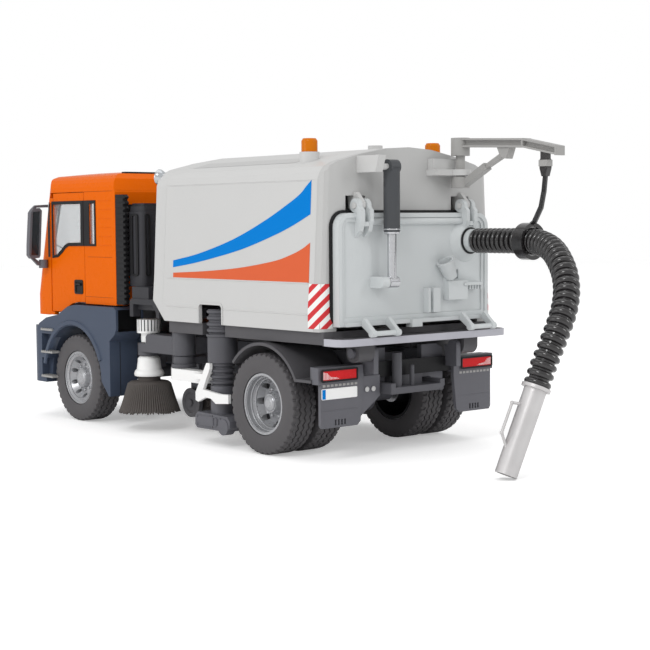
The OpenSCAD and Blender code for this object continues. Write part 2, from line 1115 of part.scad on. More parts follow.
// right half of the roof line from the wall join to the middle
function roof_line(d) = [
    [box_hw - 4.7 - d, wall_z1],
    [box_hw - 6.2 - d, box_top - 17 - d * 0.7],
    [box_hw - 9.5 - d, box_top - 13 - d * 0.9],
    [box_hw - 16 - d, box_top - 10 - d],
    [box_hw - 35, box_top - 5.2 - d],
    [box_hw - 57, box_top - 1.2 - d],
    [0, box_top - d]
];

function flipped(p) = [for (k = [len(p) - 1 : -1 : 0]) [-p[k][0], p[k][1]]];

function section(d) = concat(wall_line(d), roof_line(d), flipped(roof_line(d)), flipped(wall_line(d)));

module container_cuts() {
    both()
        box(40, 100, pipe_y - 13, pipe_y + 12.5, 60, base_z1 + 13);
    side_plate(-100, 100)
        polygon([
            [box_front - 15, base_z1 - 1],
            [box_front + 1, base_z1 + 15],
            [box_front + 1, base_z1 - 1]
        ]);
}

module container_sides() {
    color(light)
        placed()
            difference() {
                both()
                    cross_plate(-50, box_front - 12)
                        polygon(concat(wall_line(0), [
                            for (k = [3 : -1 : 0])
                                wall_line(box_wall)[k]
                        ]));
                container_cuts();
            }
}

module container_roof() {
    color(light)
        placed() {
            cross_plate(-50, box_front - 12)
                polygon(concat(
                    roof_line(0),
                    flipped(roof_line(0)),
                    [for (k = [0 : 6]) [-roof_line(box_wall)[k][0], roof_line(box_wall)[k][1]]],
                    [for (k = [6 : -1 : 0]) roof_line(box_wall)[k]]
                ));
            zcyl(5, box_top - 3, box_top + 4, 22, 0);
            for (s = [-1, 1])
                difference() {
                    zcyl(beacon_r + 1.2, box_top - 15, beacon_z, s * beacon_x, beacon_y);
                    cross_plate(-100, 100)
                        polygon(section(box_wall / 2));
                }
        }
}

module container_front() {
    color(light)
        placed() {
            difference() {
                intersection() {
                    cross_plate(box_front - 12, box_front)
                        polygon(section(0));
                    side_plate(-100, 100)
                        polygon([
                            [box_front - 12, 60],
                            [box_front, 60],
                            [box_front, box_top - 10],
                            [box_front - 2.5, box_top - 5],
                            [box_front - 6, box_top - 1.5],
                            [box_front - 12, box_top]
                        ]);
                }
                cross_plate(box_front - 13, box_front - 10)
                    polygon(section(box_wall));
                cross_plate(box_front - 11, box_front - box_wall)
                    polygon([
                        [11 - box_hw, base_z1 - 1],
                        [box_hw - 11, base_z1 - 1],
                        [box_hw - 11, wall_z1 - 6],
                        [40, box_top - 15.5],
                        [-40, box_top - 15.5],
                        [11 - box_hw, wall_z1 - 6]
                    ]);
                container_cuts();
            }
            box(-68, 68, box_front, box_front + 5, 118, 160);
        }
}

module container_rear() {
    color(light)
        placed()
            difference() {
                cross_plate(-56, -50)
                    polygon(section(0));
                cross_plate(-57, -49)
                    polygon([
                        [14 - box_hw, base_z1 - 1],
                        [box_hw - 14, base_z1 - 1],
                        [box_hw - 16, gate_z - 8],
                        [16 - box_hw, gate_z - 8]
                    ]);
                for (s = [-1, 1])
                    box(s * hinge_at - 8.3, s * hinge_at + 8.3, -57, -49, gate_z - 4.5, gate_z + 6.2);
                both()
                    translate([box_hw, -56, base_z1])
                        rotate([0, -side_lean, 0])
                            for (a = [22.5, 45, 67.5])
                                rotate([0, 0, -a])
                                    translate([corner_r * (1 - cos(a) - sin(a)), -20, -20])
                                        cube([20, 40, 160]);
            }
}

module container_base() {
    color(dark)
        placed()
            difference() {
                union() {
                    box(2.6 - box_hw, box_hw - 2.6, -57, box_front - 16, base_z0, base_z1);
                    translate([0, -74, platform_z0])
                        linear_extrude(platform_z1 - platform_z0)
                            polygon([
                                [2.6 - box_hw, 18],
                                [2.6 - box_hw, 6],
                                [5 - box_hw, 2],
                                [10 - box_hw, 0],
                                [box_hw - 10, 0],
                                [box_hw - 5, 2],
                                [box_hw - 2.6, 6],
                                [box_hw - 2.6, 18]
                            ]);
                    both()
                        box(rail_x0, rail_x1, -40, box_front - 16, rail_z1 + free_gap, base_z0);
                    both()
                        difference() {
                            union() {
                                xcyl(6, 40, 53, tip_y, tip_z);
                                box(40, 53, tip_y - 6, tip_y + 6, tip_z, base_z0);
                            }
                            xcyl(tip_r + run_gap, 39, 54, tip_y, tip_z);
                        }
                }
                container_cuts();
            }
}

module beacons() {
    color([0.91, 0.54, 0])
        placed()
            for (s = [-1, 1])
                translate([s * beacon_x, beacon_y, beacon_z]) {
                    cylinder(r = beacon_r, h = 7);
                    translate([0, 0, 7])
                        cylinder(r1 = beacon_r, r2 = beacon_r - 1, h = 1.6);
                }
}

module rear_brackets() {
    top_z = box_top - 6.5;
    color(light)
        placed() {
            difference() {
                union() {
                    box(17, 44, -61, -56, shelf_z, shelf_z + 7);
                    box(15.5, post_x + 7, arm_post_y, -56, shelf_z - 4, shelf_z);
                    zcyl(7, shelf_z - 4, shelf_z, post_x, arm_post_y);
                }
                zcyl(post_r + run_gap, shelf_z - 10, shelf_z + 10, post_x, arm_post_y);
            }
            side_plate(ram_x - 17, ram_x - 11)
                polygon([
                    [-56, top_z],
                    [ram_y - 7, top_z],
                    [ram_y - 3.5, ram_z - 3.5],
                    [-56, ram_z - 3.5]
                ]);
            xcyl(ram_pin_r, ram_x - 12, ram_x + 6, ram_y, ram_z);
            for (s = [-1, 1]) {
                side_plate(s * hinge_at - 1.6, s * hinge_at + 1.6)
                    polygon([
                        [-50.5, gate_z + 6.2],
                        [-56, gate_z + 6.2],
                        [-56, gate_z + 8.5],
                        [-58, gate_z + 8.5],
                        [gate_y - 3, gate_z + 2],
                        [gate_y - 3, gate_z - 1],
                        [gate_y, gate_z - 4],
                        [-51, gate_z - 2]
                    ]);
                xcyl(gate_pin_r, s * hinge_at - 6, s * hinge_at + 6, gate_y, gate_z);
            }
        }
}

// tailgate

// outline of the tailgate drawn in by d, right half from the bottom to the top
function gate_line(d) =
    let (
        hw = box_hw - 10.6 - d,
        top = gate_z - 4.6 - d,
        q = max(9 - d, 2)
    )
    concat(
        [[hw, base_z1 + 3 + d]],
        [for (a = [0 : 15 : 90]) [hw - q + q * cos(a), top - q + q * sin(a)]]
    );

module gate_ring(d0, d1, y0) {
    cross_plate(y0, gate_y)
        difference() {
            polygon(concat(gate_line(d0), flipped(gate_line(d0))));
            polygon(concat(gate_line(d1), flipped(gate_line(d1))));
        }
}

// one claw of a tailgate hinge from the pin down to the panel
module claw(x0, x1) {
    xcyl(4.4, x0, x1, gate_y, gate_z);
    side_plate(x0, x1)
        polygon([
            [gate_y + 1, gate_z + 1],
            [gate_y - 2, gate_z + 2],
            [gate_y - 6.5, gate_z - 3],
            [gate_y - 6.5, gate_z - 10],
            [gate_y - 4.5, gate_z - 16],
            [gate_y, gate_z - 20],
            [gate_y, gate_z - 3]
        ]);
}

module tailgate() {
    color([0.79, 0.81, 0.81])
        placed()
            difference() {
                union() {
                    cross_plate(gate_y, gate_y + gate_t)
                        polygon(concat(gate_line(0), flipped(gate_line(0))));
                    gate_ring(0, 3, gate_y - 1.8);
                    gate_ring(2.9, 5.5, gate_y - 0.9);
                    for (s = [-1, 1]) {
                        claw(s * hinge_at - 5.2, s * hinge_at - 2.1);
                        claw(s * hinge_at + 2.1, s * hinge_at + 5.2);
                        box(s * hinge_at - 3, s * hinge_at + 3, gate_y - 5.5, gate_y, gate_z - 13, gate_z - 10);
                    }
                    xcyl(2.2, -42, 42, gate_y - 1, gate_z - 10);
                    box(-62, 62, gate_y - 4, gate_y, base_z1 + 3, base_z1 + 5.5);
                    translate([port_x, gate_y, port_z])
                        rotate([90, 0, 0])
                            cylinder(r1 = 14, r2 = 9.4, h = 5);
                    ycyl(hose_r - 0.4, hose_start_y + 0.1, gate_y, port_x, port_z);
                    ram_lug();
                    gate_fittings();
                }
                for (s = [-1, 1])
                    xcyl(gate_pin_r + run_gap, s * hinge_at - 7, s * hinge_at + 7, gate_y, gate_z);
                ycyl(hose_r - 2, hose_start_y - 1, gate_y + gate_t + 1, port_x, port_z);
                box(33, 40, gate_y - 9, gate_y + 2, 112, 118);
                cup_at()
                    translate([0, 0, 2])
                        cylinder(r1 = 2.8, r2 = 4.8, h = 12);
            }
}

// lug that the lift cylinder pulls on, beside the rod eye
module ram_lug() {
    x1 = ram_x - 4 - free_gap;
    box(x1 - 6, x1, ram_y, gate_y, eye_z - 3.6, eye_z + 3.6);
    xcyl(3.6, x1 - 6, x1, ram_y, eye_z);
}

// foot of the leaning storage cup
module cup_at() {
    translate([29, gate_y - 4.4, 113])
        rotate([0, -28, 0])
            children();
}

// storage cup, shelf, hook and stop blocks on the tailgate
module gate_fittings() {
    cup_at()
        cylinder(r1 = 4, r2 = 6, h = 12.5);
    box(26, 32, gate_y - 4, gate_y, 110, 116);
    box(26, 44, gate_y - 5, gate_y, 98.5, 111);
    box(40, 57, gate_y - 6, gate_y, 107.5, 109.5);
    for (k = [0 : 4])
        box(45.2 + k * 2.6, 46.2 + k * 2.6, gate_y - 5.5, gate_y, 104.8, 107.5);
    box(7.5, 9.5, gate_y - 5, gate_y, 91, 107);
    box(13, 19.5, gate_y - 4, gate_y, 91, 107);
    box(-8, 1, gate_y - 6, gate_y, base_z1 + 0.5, base_z1 + 5.5);
}

module tailgate_latches() {
    bar_y = gate_y - 13;
    bar_z = platform_z1 + 2.6;
    color([0.79, 0.81, 0.81])
        placed()
            for (x0 = [-50, 37]) {
                for (x = [x0, x0 + 20.5]) {
                    side_plate(x, x + 3)
                        polygon([
                            [gate_y - 4, base_z1 + 5.5],
                            [gate_y - 6, base_z1 + 8],
                            [gate_y - 10, base_z1 + 4],
                            [bar_y - 1.5, bar_z + 1.5],
                            [bar_y - 1, bar_z - 1],
                            [bar_y + 1, bar_z - 1],
                            [gate_y - 7, base_z1 + 1],
                            [gate_y - 4, base_z1 + 3]
                        ]);
                    xcyl(2.2, x - 0.5, x + 3.5, bar_y, bar_z);
                }
                xcyl(1.6, x0, x0 + 23, bar_y, bar_z);
            }
}

module ram_barrel() {
    color(grey)
        placed()
            difference() {
                union() {
                    xcyl(4.6, ram_x - 4, ram_x + 4, ram_y, ram_z);
                    zcyl(barrel_r, ram_z - 40, ram_z - 1, ram_x, ram_y);
                    translate([ram_x, ram_y, ram_z - 42])
                        cylinder(r1 = barrel_r - 1, r2 = barrel_r, h = 2);
                }
                xcyl(ram_pin_r + run_gap, ram_x - 6, ram_x + 6.5, ram_y, ram_z);
                zcyl(rod_r + run_gap, ram_z - 44, ram_z - 6, ram_x, ram_y);
            }
}

module ram_rod() {
    color([0.75, 0.75, 0.76])
        placed() {
            zcyl(rod_r, eye_z, ram_z - 34, ram_x, ram_y);
            xcyl(3.6, ram_x - 4, ram_x + 4, ram_y, eye_z);
        }
}

// hose arm with its hose

// I-beam of the hose arm between two ends (y, z of the top edge)
module boom_span(a, b, h) {
    flange = 1.3;
    for (k = [[0, flange, 4], [flange, h - flange, 1.2], [h - flange, h, 4]])
        side_plate(post_x - k[2], post_x + k[2])
            polygon([
                [a[0], a[1] - k[0]],
                [b[0], b[1] - k[0]],
                [b[0], b[1] - k[1]],
                [a[0], a[1] - k[1]]
            ]);
}

module boom() {
    h = 5.8;
    bend = [boom_end_y + 28, arm_head_z - 2.8];
    tip = [boom_end_y, arm_head_z - 8.6];
    root = [arm_post_y - 5, arm_head_z - 0.4];
    foot = arm_foot_z;
    color([0.66, 0.66, 0.65])
        placed() {
            zcyl(post_r, foot, arm_head_z - 4, post_x, arm_post_y);
            zcyl(6.2, arm_head_z - 11.5, arm_head_z, post_x, arm_post_y);
            boom_span(root, bend, h);
            boom_span(bend, tip, h);
            box(post_x - 4, post_x + 4, bend[0] - 0.7, bend[0] + 0.7, bend[1] - h, bend[1]);
            box(post_x - 4, post_x + 4, boom_end_y, boom_end_y + 1.5, tip[1] - h, tip[1]);
            zcyl(6.2, foot, shelf_z - 4.7, post_x, arm_post_y);
            side_plate(post_x - 2.6, post_x + 2.6)
                polygon([
                    [arm_post_y - 4, foot],
                    [arm_post_y - 4, foot + 5],
                    [arm_post_y - 23, foot + 15.5],
                    [arm_post_y - 25.5, foot + 11.5]
                ]);
            side_plate(post_x - 1.5, post_x + 1.5)
                polygon([
                    [arm_post_y - 20, foot + 9.8],
                    [arm_post_y - 20, foot + 12.8],
                    [arm_post_y - 40, foot + 23],
                    [arm_post_y - 43, foot + 20.5]
                ]);
            side_plate(post_x - 3, post_x + 3)
                polygon([
                    [arm_post_y - 35, arm_head_z - 7.5],
                    [arm_post_y - 38, arm_head_z - 14],
                    [arm_post_y - 43, arm_head_z - 15],
                    [arm_post_y - 46, arm_head_z - 7.5]
                ]);
        }
}

// underside of the arm's bent end at a distance y
function boom_under(y) = arm_head_z - 14.4 + (y - boom_end_y) * 5.8 / 28;

// collar round the hose, hung from the arm's tip by a clip and a strap
module hose_sling() {
    sling = [45.4, -118, 136.7];
    ring_r = hose_r + 3.8;
    top_y = boom_end_y + 12;
    top_z = boom_under(top_y);
    strap = [
        [post_x, top_y, top_z - 14],
        [post_x + 1.5, top_y + 2.5, top_z - 24],
        [post_x + 4.5, top_y + 7.5, top_z - 34],
        [sling[0] - 1, sling[1] - 5.5, sling[2] + ring_r + 0.5],
        [sling[0], sling[1] - 2, sling[2] + ring_r - 1]
    ];
    color(dark)
        placed() {
            difference() {
                ycyl(ring_r, sling[1] - 4, sling[1] + 4, sling[0], sling[2]);
                ycyl(hose_r + 1.3, sling[1] - 5, sling[1] + 5, sling[0], sling[2]);
            }
            side_plate(post_x - 2, post_x + 2)
                polygon([
                    [top_y - 2.5, boom_under(top_y - 2.5)],
                    [top_y + 2.5, boom_under(top_y + 2.5)],
                    [top_y + 2.5, top_z - 4],
                    [top_y + 3.2, top_z - 5],
                    [top_y + 3.2, top_z - 10],
                    [top_y + 1.6, top_z - 15],
                    [top_y - 1.6, top_z - 15],
                    [top_y - 3.2, top_z - 10],
                    [top_y - 3.2, top_z - 5],
                    [top_y - 2.5, top_z - 4]
                ]);
            for (k = [0 : len(strap) - 2])
                hull() {
                    translate(strap[k])
                        cube([1.4, 3, 1.4], center = true);
                    translate(strap[k + 1])
                        cube([1.4, 3, 1.4], center = true);
                }
        }
}

function unit(v) = v / norm(v);

function bend_dir(p, k) = unit(p[min(k + 1, len(p) - 1)] - p[max(k - 1, 0)]);

function ring(c, d, r, n) =
    let (
        u = unit(cross(d, [1, 0.3, 0.2])),
        w = cross(d, u)
    )
    [for (a = [0 : n - 1]) c + r * cos(a * 360 / n) * u + r * sin(a * 360 / n) * w];

module sweep(p, r, n) {
    m = len(p);
    pts = [for (k = [0 : m - 1]) each ring(p[k], bend_dir(p, k), r, n)];
    faces = concat(
        [[for (a = [0 : n - 1]) a]],
        [[for (a = [n - 1 : -1 : 0]) (m - 1) * n + a]],
        [
            for (k = [0 : m - 2])
                for (a = [0 : n - 1])
                    [k * n + a, (k + 1) * n + a, (k + 1) * n + (a + 1) % n, k * n + (a + 1) % n]
        ]
    );
    polyhedron(pts, faces, convexity = 6);
}

module hose() {
    color(dark)
        placed()
            sweep(hose_route, hose_r, 12);
}

// wire between two points of the nozzle's own x-z plane
module wire(a, b, r) {
    translate([a[0], 0, a[1]])
        rotate([0, atan2(b[0] - a[0], b[1] - a[1]), 0])
            cylinder(r = r, h = norm(b - a), $fn = 16);
}

module nozzle() {
    grip = [[-nozzle_r + 1, 13], [-nozzle_r - 5.5, 14.5], [-nozzle_r - 5.5, 33], [-nozzle_r + 1, 40]];
    color([0.79, 0.78, 0.78])
        placed()
            translate(nozzle_top)
                rotate([0, 0, nozzle_turn])
                    rotate([0, 180 - nozzle_tilt, 0])
                        difference() {
                            union() {
                                cylinder(r = nozzle_r, h = nozzle_len);
                                cylinder(r = nozzle_r + 2, h = 2);
                                for (k = [0 : 2])
                                    wire(grip[k], grip[k + 1], 0.9);
                                for (k = [1, 2])
                                    translate([grip[k][0], 0, grip[k][1]])
                                        sphere(1.2, $fn = 16);
                            }
                            translate([0, 0, 2])
                                cylinder(r = nozzle_r - 1.2, h = nozzle_len);
                        }
}

// wheels, drawn on the right side with the outer face at x = 0

module tyre_form(w) {
    rotate([0, -90, 0])
        rotate_extrude($fn = 64)
            polygon([
                [rim_r, 1.5],
                [rim_r + 3, 0],
                [tyre_r - 4, 0],
                [tyre_r - 1, 1.5],
                [tyre_r, 4],
                [tyre_r, w - 4],
                [tyre_r - 1, w - 1.5],
                [tyre_r - 4, w],
                [rim_r + 3, w],
                [rim_r, w - 1.5]
            ]);
}

module rim_front() {
    rotate([0, -90, 0])
        difference() {
            union() {
                rotate_extrude($fn = 64)
                    polygon([
                        [0, 4],
                        [7, 4],
                        [8, 7],
                        [13, 8],
                        [16.5, 3],
                        [rim_r - 1.5, 1.5],
                        [rim_r, 1.5],
                        [rim_r, tyre_w - 1.5],
                        [rim_r - 2, tyre_w - 1.5],
                        [rim_r - 2, 12],
                        [10, 13],
                        [7, tyre_w],
                        [0, tyre_w]
                    ]);
            }
            translate([0, 0, 5])
                cylinder(r = bore_r, h = 40);
            for (k = [0 : 9])
                rotate([0, 0, k * 36])
                    translate([14.2, 0, -1])
                        cylinder(r = 1.6, h = 30, $fn = 24);
        }
}

module rim_rear() {
    w2 = 2 * tyre_w + twin_gap;
    rotate([0, -90, 0])
        difference() {
            union() {
                rotate_extrude($fn = 64)
                    polygon([
                        [0, 7],
                        [6, 7],
                        [8, 12],
                        [14, 14],
                        [rim_r - 2, 6],
                        [rim_r - 1.5, 1.5],
                        [rim_r, 1.5],
                        [rim_r, w2 - 1.5],
                        [rim_r - 2, w2 - 1.5],
                        [rim_r - 2, 20],
                        [10, 22],
                        [8, w2],
                        [0, w2]
                    ]);
            }
            translate([0, 0, 11])
                cylinder(r = bore_r, h = 60);
            for (k = [0 : 7])
                rotate([0, 0, k * 45])
                    translate([14.5, 0, -1])
                        cylinder(r = 2.2, h = 40, $fn = 24);
        }
}

module at_front() {
    placed()
        translate([front_face_x, fa, axle_z])
            children();
}

module at_rear() {
    placed()
        translate([rear_face_x, 0, axle_z])
            children();
}

module twin_tyres() {
    tyre_form(tyre_w);
    translate([-tyre_w - twin_gap, 0, 0])
        tyre_form(tyre_w);
}

module tyre_fr() {
    color(dark)
        at_front()
            tyre_form(tyre_w);
}

module tyre_fl() {
    color(dark)
        mirror([1, 0, 0])
            at_front()
                tyre_form(tyre_w);
}

module tyre_rr() {
    color(dark)
        at_rear()
            twin_tyres();
}

module tyre_rl() {
    color(dark)
        mirror([1, 0, 0])
            at_rear()
                twin_tyres();
}

module rim_fr() {
    color([0.71, 0.71, 0.72])
        at_front()
            rim_front();
}

module rim_fl() {
    color([0.71, 0.71, 0.72])
        mirror([1, 0, 0])
            at_front()
                rim_front();
}

module rim_rr() {
    color([0.71, 0.71, 0.72])
        at_rear()
            rim_rear();
}

module rim_rl() {
    color([0.71, 0.71, 0.72])
        mirror([1, 0, 0])
            at_rear()
                rim_rear();
}

frame();
front_bumper();
step_fenders();
headlights();
engine();
front_axle();
rear_axle();
tail_board();
tail_lamps();
tow_hitch();
rear_mudguards();
intake_stack();
broom_posts();
suction_bellows();
suction_mouths();
suction_links();
roller_broom();
broom_arm_left();
broom_arm_right();
broom_spindle_left();
broom_spindle_right();
broom_brush_left();
broom_brush_right();
cab_floor();
cab_back();
cab_roof();
cab_front();
cab_glass();
cab_ducts();
grille();
mirrors();
door_left();
door_right();
door_glass_left();
door_glass_right();
container_sides();
container_roof();
container_front();
container_rear();
container_base();
beacons();
rear_brackets();
tailgate();
tailgate_latches();
ram_barrel();
ram_rod();
boom();
hose_sling();
hose();
nozzle();
tyre_fl();
tyre_fr();
tyre_rl();
tyre_rr();
rim_fl();
rim_fr();
rim_rl();
rim_rr();
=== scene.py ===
"""Looks of a toy street sweeper truck: camera, studio, plastics and the moulded detail on its solids.

The frame is in metres. Places on the truck are millimetres from the floor under the middle of the rear axle,
turned into the frame by at().
"""

import json
import math

import bpy
import numpy as np
from bpy.props import FloatProperty, FloatVectorProperty, IntProperty, PointerProperty
from mathutils import Matrix, Vector


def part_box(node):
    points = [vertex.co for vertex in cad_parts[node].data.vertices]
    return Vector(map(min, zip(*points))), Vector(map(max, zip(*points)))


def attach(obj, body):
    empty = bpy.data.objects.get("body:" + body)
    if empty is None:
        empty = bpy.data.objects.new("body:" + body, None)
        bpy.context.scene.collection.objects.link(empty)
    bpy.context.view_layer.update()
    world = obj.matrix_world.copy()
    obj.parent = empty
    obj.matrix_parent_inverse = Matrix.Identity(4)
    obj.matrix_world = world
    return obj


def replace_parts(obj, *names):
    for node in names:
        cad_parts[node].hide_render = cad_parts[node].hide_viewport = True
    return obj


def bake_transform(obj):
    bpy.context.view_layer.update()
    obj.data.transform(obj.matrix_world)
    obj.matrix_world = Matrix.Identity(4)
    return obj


bl_info = {
    "name": "Toy Street Sweeper Looks",
    "version": (1, 0, 0),
    "blender": (4, 5, 0),
    "location": "View3D > Sidebar > Sweeper",
    "description": "Dresses the solids of a toy street sweeper truck and lights them as in a studio",
    "category": "Object",
}

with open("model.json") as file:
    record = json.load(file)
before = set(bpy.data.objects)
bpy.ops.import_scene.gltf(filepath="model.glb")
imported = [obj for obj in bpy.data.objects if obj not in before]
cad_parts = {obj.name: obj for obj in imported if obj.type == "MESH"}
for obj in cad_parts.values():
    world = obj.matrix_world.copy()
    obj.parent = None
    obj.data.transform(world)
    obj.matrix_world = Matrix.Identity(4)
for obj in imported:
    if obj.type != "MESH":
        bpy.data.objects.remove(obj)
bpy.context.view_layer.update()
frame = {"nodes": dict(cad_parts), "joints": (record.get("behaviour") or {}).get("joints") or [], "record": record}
AXLE = {j["name"][-2:]: j["pos_m"] for j in frame["joints"] if j["name"].startswith("wheel_spin")}
PIVOT = {j["name"]: j["pos_m"] for j in frame["joints"] if "pos_m" in j}
REAR_Y = AXLE["rl"][1]
WHEELBASE = (AXLE["fl"][1] - REAR_Y) * 1000
MM = 0.001
TO_LEFT, TO_BACK, TO_FRONT = (-1, 0, 0), (0, -1, 0), (0, 1, 0)

# an edge that turns by more stays sharp: on the pieces made here, and on the solids
PIECE_SHARP, SOLID_SHARP = math.radians(38), math.radians(35)

# suction hose, from the tailgate port to the nozzle
HOSE_ROUTE = [
    (46, -71.6, 137), (46, -86, 137), (46, -100, 137), (46, -114, 137), (44.2, -128, 136),
    (38.2, -143, 132.2), (30.4, -156, 125.6), (23.2, -166.4, 117.2), (17, -173, 107.9), (10.5, -177, 98.2),
    (3.8, -178.5, 87.9), (-2.2, -178, 76.7), (-7.2, -176.6, 65.8), (-11.6, -175.05, 53.8),
]

# container side wall, half width at heights above the floor
WALL_Z = (82, 95, 113, 176)
WALL_X = (77, 77, 75.6, 72.3)


def at(points):
    """Millimetres from the floor under the rear axle, as metres in the frame."""
    return np.asarray(points, float) * MM + (0, REAR_Y, 0)


def millimetres(point):
    """Place in the frame, as millimetres from the floor under the rear axle."""
    return (np.array(point) - (0, REAR_Y, 0)) / MM


def smooth_line(points, count):
    """Points evenly spaced by length on the Catmull-Rom curve through the given ones."""
    p = np.asarray(points, float)
    p = np.vstack([2 * p[0] - p[1], p, 2 * p[-1] - p[-2]])
    t = np.linspace(0, 1, 24, endpoint=False)[:, None]
    runs = [
        0.5 * (2 * b + (c - a) * t + (2 * a - 5 * b + 4 * c - d) * t**2 + (3 * b - a - 3 * c + d) * t**3)
        for a, b, c, d in zip(p[:-3], p[1:-2], p[2:-1], p[3:])
    ]
    line = np.vstack(runs + [p[-2:-1]])
    along = lengths(line)
    want = np.linspace(0, along[-1], count)
    return np.stack([np.interp(want, along, line[:, k]) for k in range(line.shape[1])], 1)


def lengths(path):
    """Length of a path up to each of its points."""
    return np.concatenate([[0], np.cumsum(np.linalg.norm(np.diff(path, axis=0), axis=1))])


def carried_frames(path):
    """Two side directions along a path, each carried on from the last so that they don't twist."""
    tangent = np.gradient(path, axis=0)
    tangent /= np.linalg.norm(tangent, axis=1)[:, None]
    side = np.zeros_like(path)
    last = np.cross(tangent[0], (0.31, 0.2, 0.93))
    for k, t in enumerate(tangent):
        last = last - t * (last @ t)
        last /= np.linalg.norm(last)
        side[k] = last
    return side, np.cross(tangent, side)


def full_turn(steps):
    """Angles of a full turn in even steps."""
    return np.linspace(0, 2 * np.pi, steps, endpoint=False)


def grid_faces(rows, columns, close_rows=False, close_columns=False):
    """Quads of a grid of points, joined round where closed."""
    i = np.arange(rows if close_rows else rows - 1)[:, None]
    j = np.arange(columns if close_columns else columns - 1)[None, :]
    a = i * columns + j
    b = i * columns + (j + 1) % columns
    c = ((i + 1) % rows) * columns + (j + 1) % columns
    d = ((i + 1) % rows) * columns + j
    return np.stack(np.broadcast_arrays(a, b, c, d), -1).reshape(-1, 4)


def surface(grid, close_rows=False, close_columns=False):
    """Points and faces of a rows x columns x 3 array."""
    return grid.reshape(-1, 3), grid_faces(*grid.shape[:2], close_rows, close_columns)


def joined(parts):
    """One (points, faces) pair out of several."""
    points, faces, start = [], [], 0
    for p, f in parts:
        points.append(p)
        faces.append(f + start)
        start += len(p)
    return np.vstack(points), np.vstack(faces)


def flipped(part):
    """The same faces seen from their other side."""
    points, faces = part
    return points, faces[:, ::-1]


def mirrored(part):
    """The same part on the other side of the truck."""
    points, faces = flipped(part)
    return points * (-1, 1, 1), faces


def both(parts):
    """Parts of one side, and the same on the other."""
    return parts + [mirrored(p) for p in parts]


def tube(path, radius, sides):
    """Round tube: centre plus radius times (cos, sin) of the turn on the two side directions."""
    side, other = carried_frames(path)
    turn = full_turn(sides)
    r = np.broadcast_to(np.asarray(radius, float), len(path))[:, None, None]
    ring = side[:, None] * np.cos(turn)[None, :, None] + other[:, None] * np.sin(turn)[None, :, None]
    return surface(path[:, None] + r * ring, close_columns=True)


def revolved(profile, sides, centre, axis):
    """Profile of (radius, height) turned about the line through centre along axis."""
    axis = np.asarray(axis, float)
    u = np.cross(axis, (0.31, 0.52, 0.8))
    u /= np.linalg.norm(u)
    v = np.cross(axis, u)
    turn = full_turn(sides)
    r, h = np.asarray(profile, float).T
    ring = np.cos(turn)[:, None] * u + np.sin(turn)[:, None] * v
    grid = np.asarray(centre, float) + r[:, None, None] * ring[None] + h[:, None, None] * axis
    return surface(grid, close_columns=True)


def block(low, high):
    """Plain box between two corners."""
    corner = np.array([[x, y, z] for x in (0, 1) for y in (0, 1) for z in (0, 1)], float)
    low, high = np.asarray(low, float), np.asarray(high, float)
    sides = [(0, 1, 3, 2), (4, 6, 7, 5), (0, 4, 5, 1), (2, 3, 7, 6), (0, 2, 6, 4), (1, 5, 7, 3)]
    return low + corner * (high - low), np.array(sides)


def bead(inner, outer, lift, across, closed=True):
    """Band between two lines of points, raised by lift along the direction across, with its two side walls."""
    inner, outer = np.asarray(inner, float), np.asarray(outer, float)
    up = np.asarray(across, float) * lift
    return surface(np.stack([inner, inner + up, outer + up, outer]), close_columns=closed)


def upright(outline, y):
    """Outline of (x, z) stood across the truck at y."""
    x, z = np.asarray(outline, float).T
    return np.stack([x, np.full(len(x), y), z], 1)


def border(inner, outer, y, lift, across=TO_BACK):
    """Raised band between two outlines of (x, z) stood at y."""
    return bead(upright(inner, y), upright(outer, y), lift, across)


def rounded_loop(low, high, radius, steps=6):
    """Points round a rectangle in a plane with its corners turned on quarter circles."""
    (x0, y0), (x1, y1) = np.add(low, radius), np.subtract(high, radius)
    centres = np.array([(x1, y1), (x0, y1), (x0, y0), (x1, y0)])
    turn = np.linspace(0, np.pi / 2, steps) + np.arange(4)[:, None] * np.pi / 2
    return (centres[:, None] + radius * np.stack([np.cos(turn), np.sin(turn)], -1)).reshape(-1, 2)


def strip(points, half, lift, across, top=0.7):
    """Low band along a line of points: half its width to each side in the plane of across, raised by lift.
    Its top takes a share of the width."""
    points, across = np.asarray(points, float), np.asarray(across, float)
    side = np.cross(across, np.gradient(points, axis=0))
    side *= half / np.linalg.norm(side, axis=1)[:, None]
    up = across * lift
    near, far = points - side * top + up, points + side * top + up
    return surface(np.stack([points - side, near, far, points + side]))


def disc(centre, axis, radius, height, sides=32, dome=0.0, wall=0.75):
    """Round button: flat or domed face of the given radius, standing off by its height along axis. Its
    straight wall takes a share of the height."""
    turn = np.linspace(0, np.pi / 2, 6)
    cap = np.stack([radius * np.cos(turn), height * wall + (height * (1 - wall) + dome) * np.sin(turn)], 1)
    return revolved(np.vstack([[(radius, 0.0), (radius, height * wall)], cap]), sides, centre, axis)


def fan(loop, middle):
    """Face from a loop of points to the point amid it."""
    return surface(np.stack([loop, np.broadcast_to(middle, loop.shape)]), close_columns=True)


def wall_x(z):
    """Half width of the container at a height."""
    return np.interp(z, WALL_Z, WALL_X)


def look(name):
    """Material made here under this name, apart from the plain ones that come with the solids."""
    return bpy.data.materials["look_" + name]


def new_look(name):
    """New material with its node tree and its surface shader."""
    material = bpy.data.materials.new("look_" + name)
    material.use_nodes = True
    return material, material.node_tree, material.node_tree.nodes["Principled BSDF"]


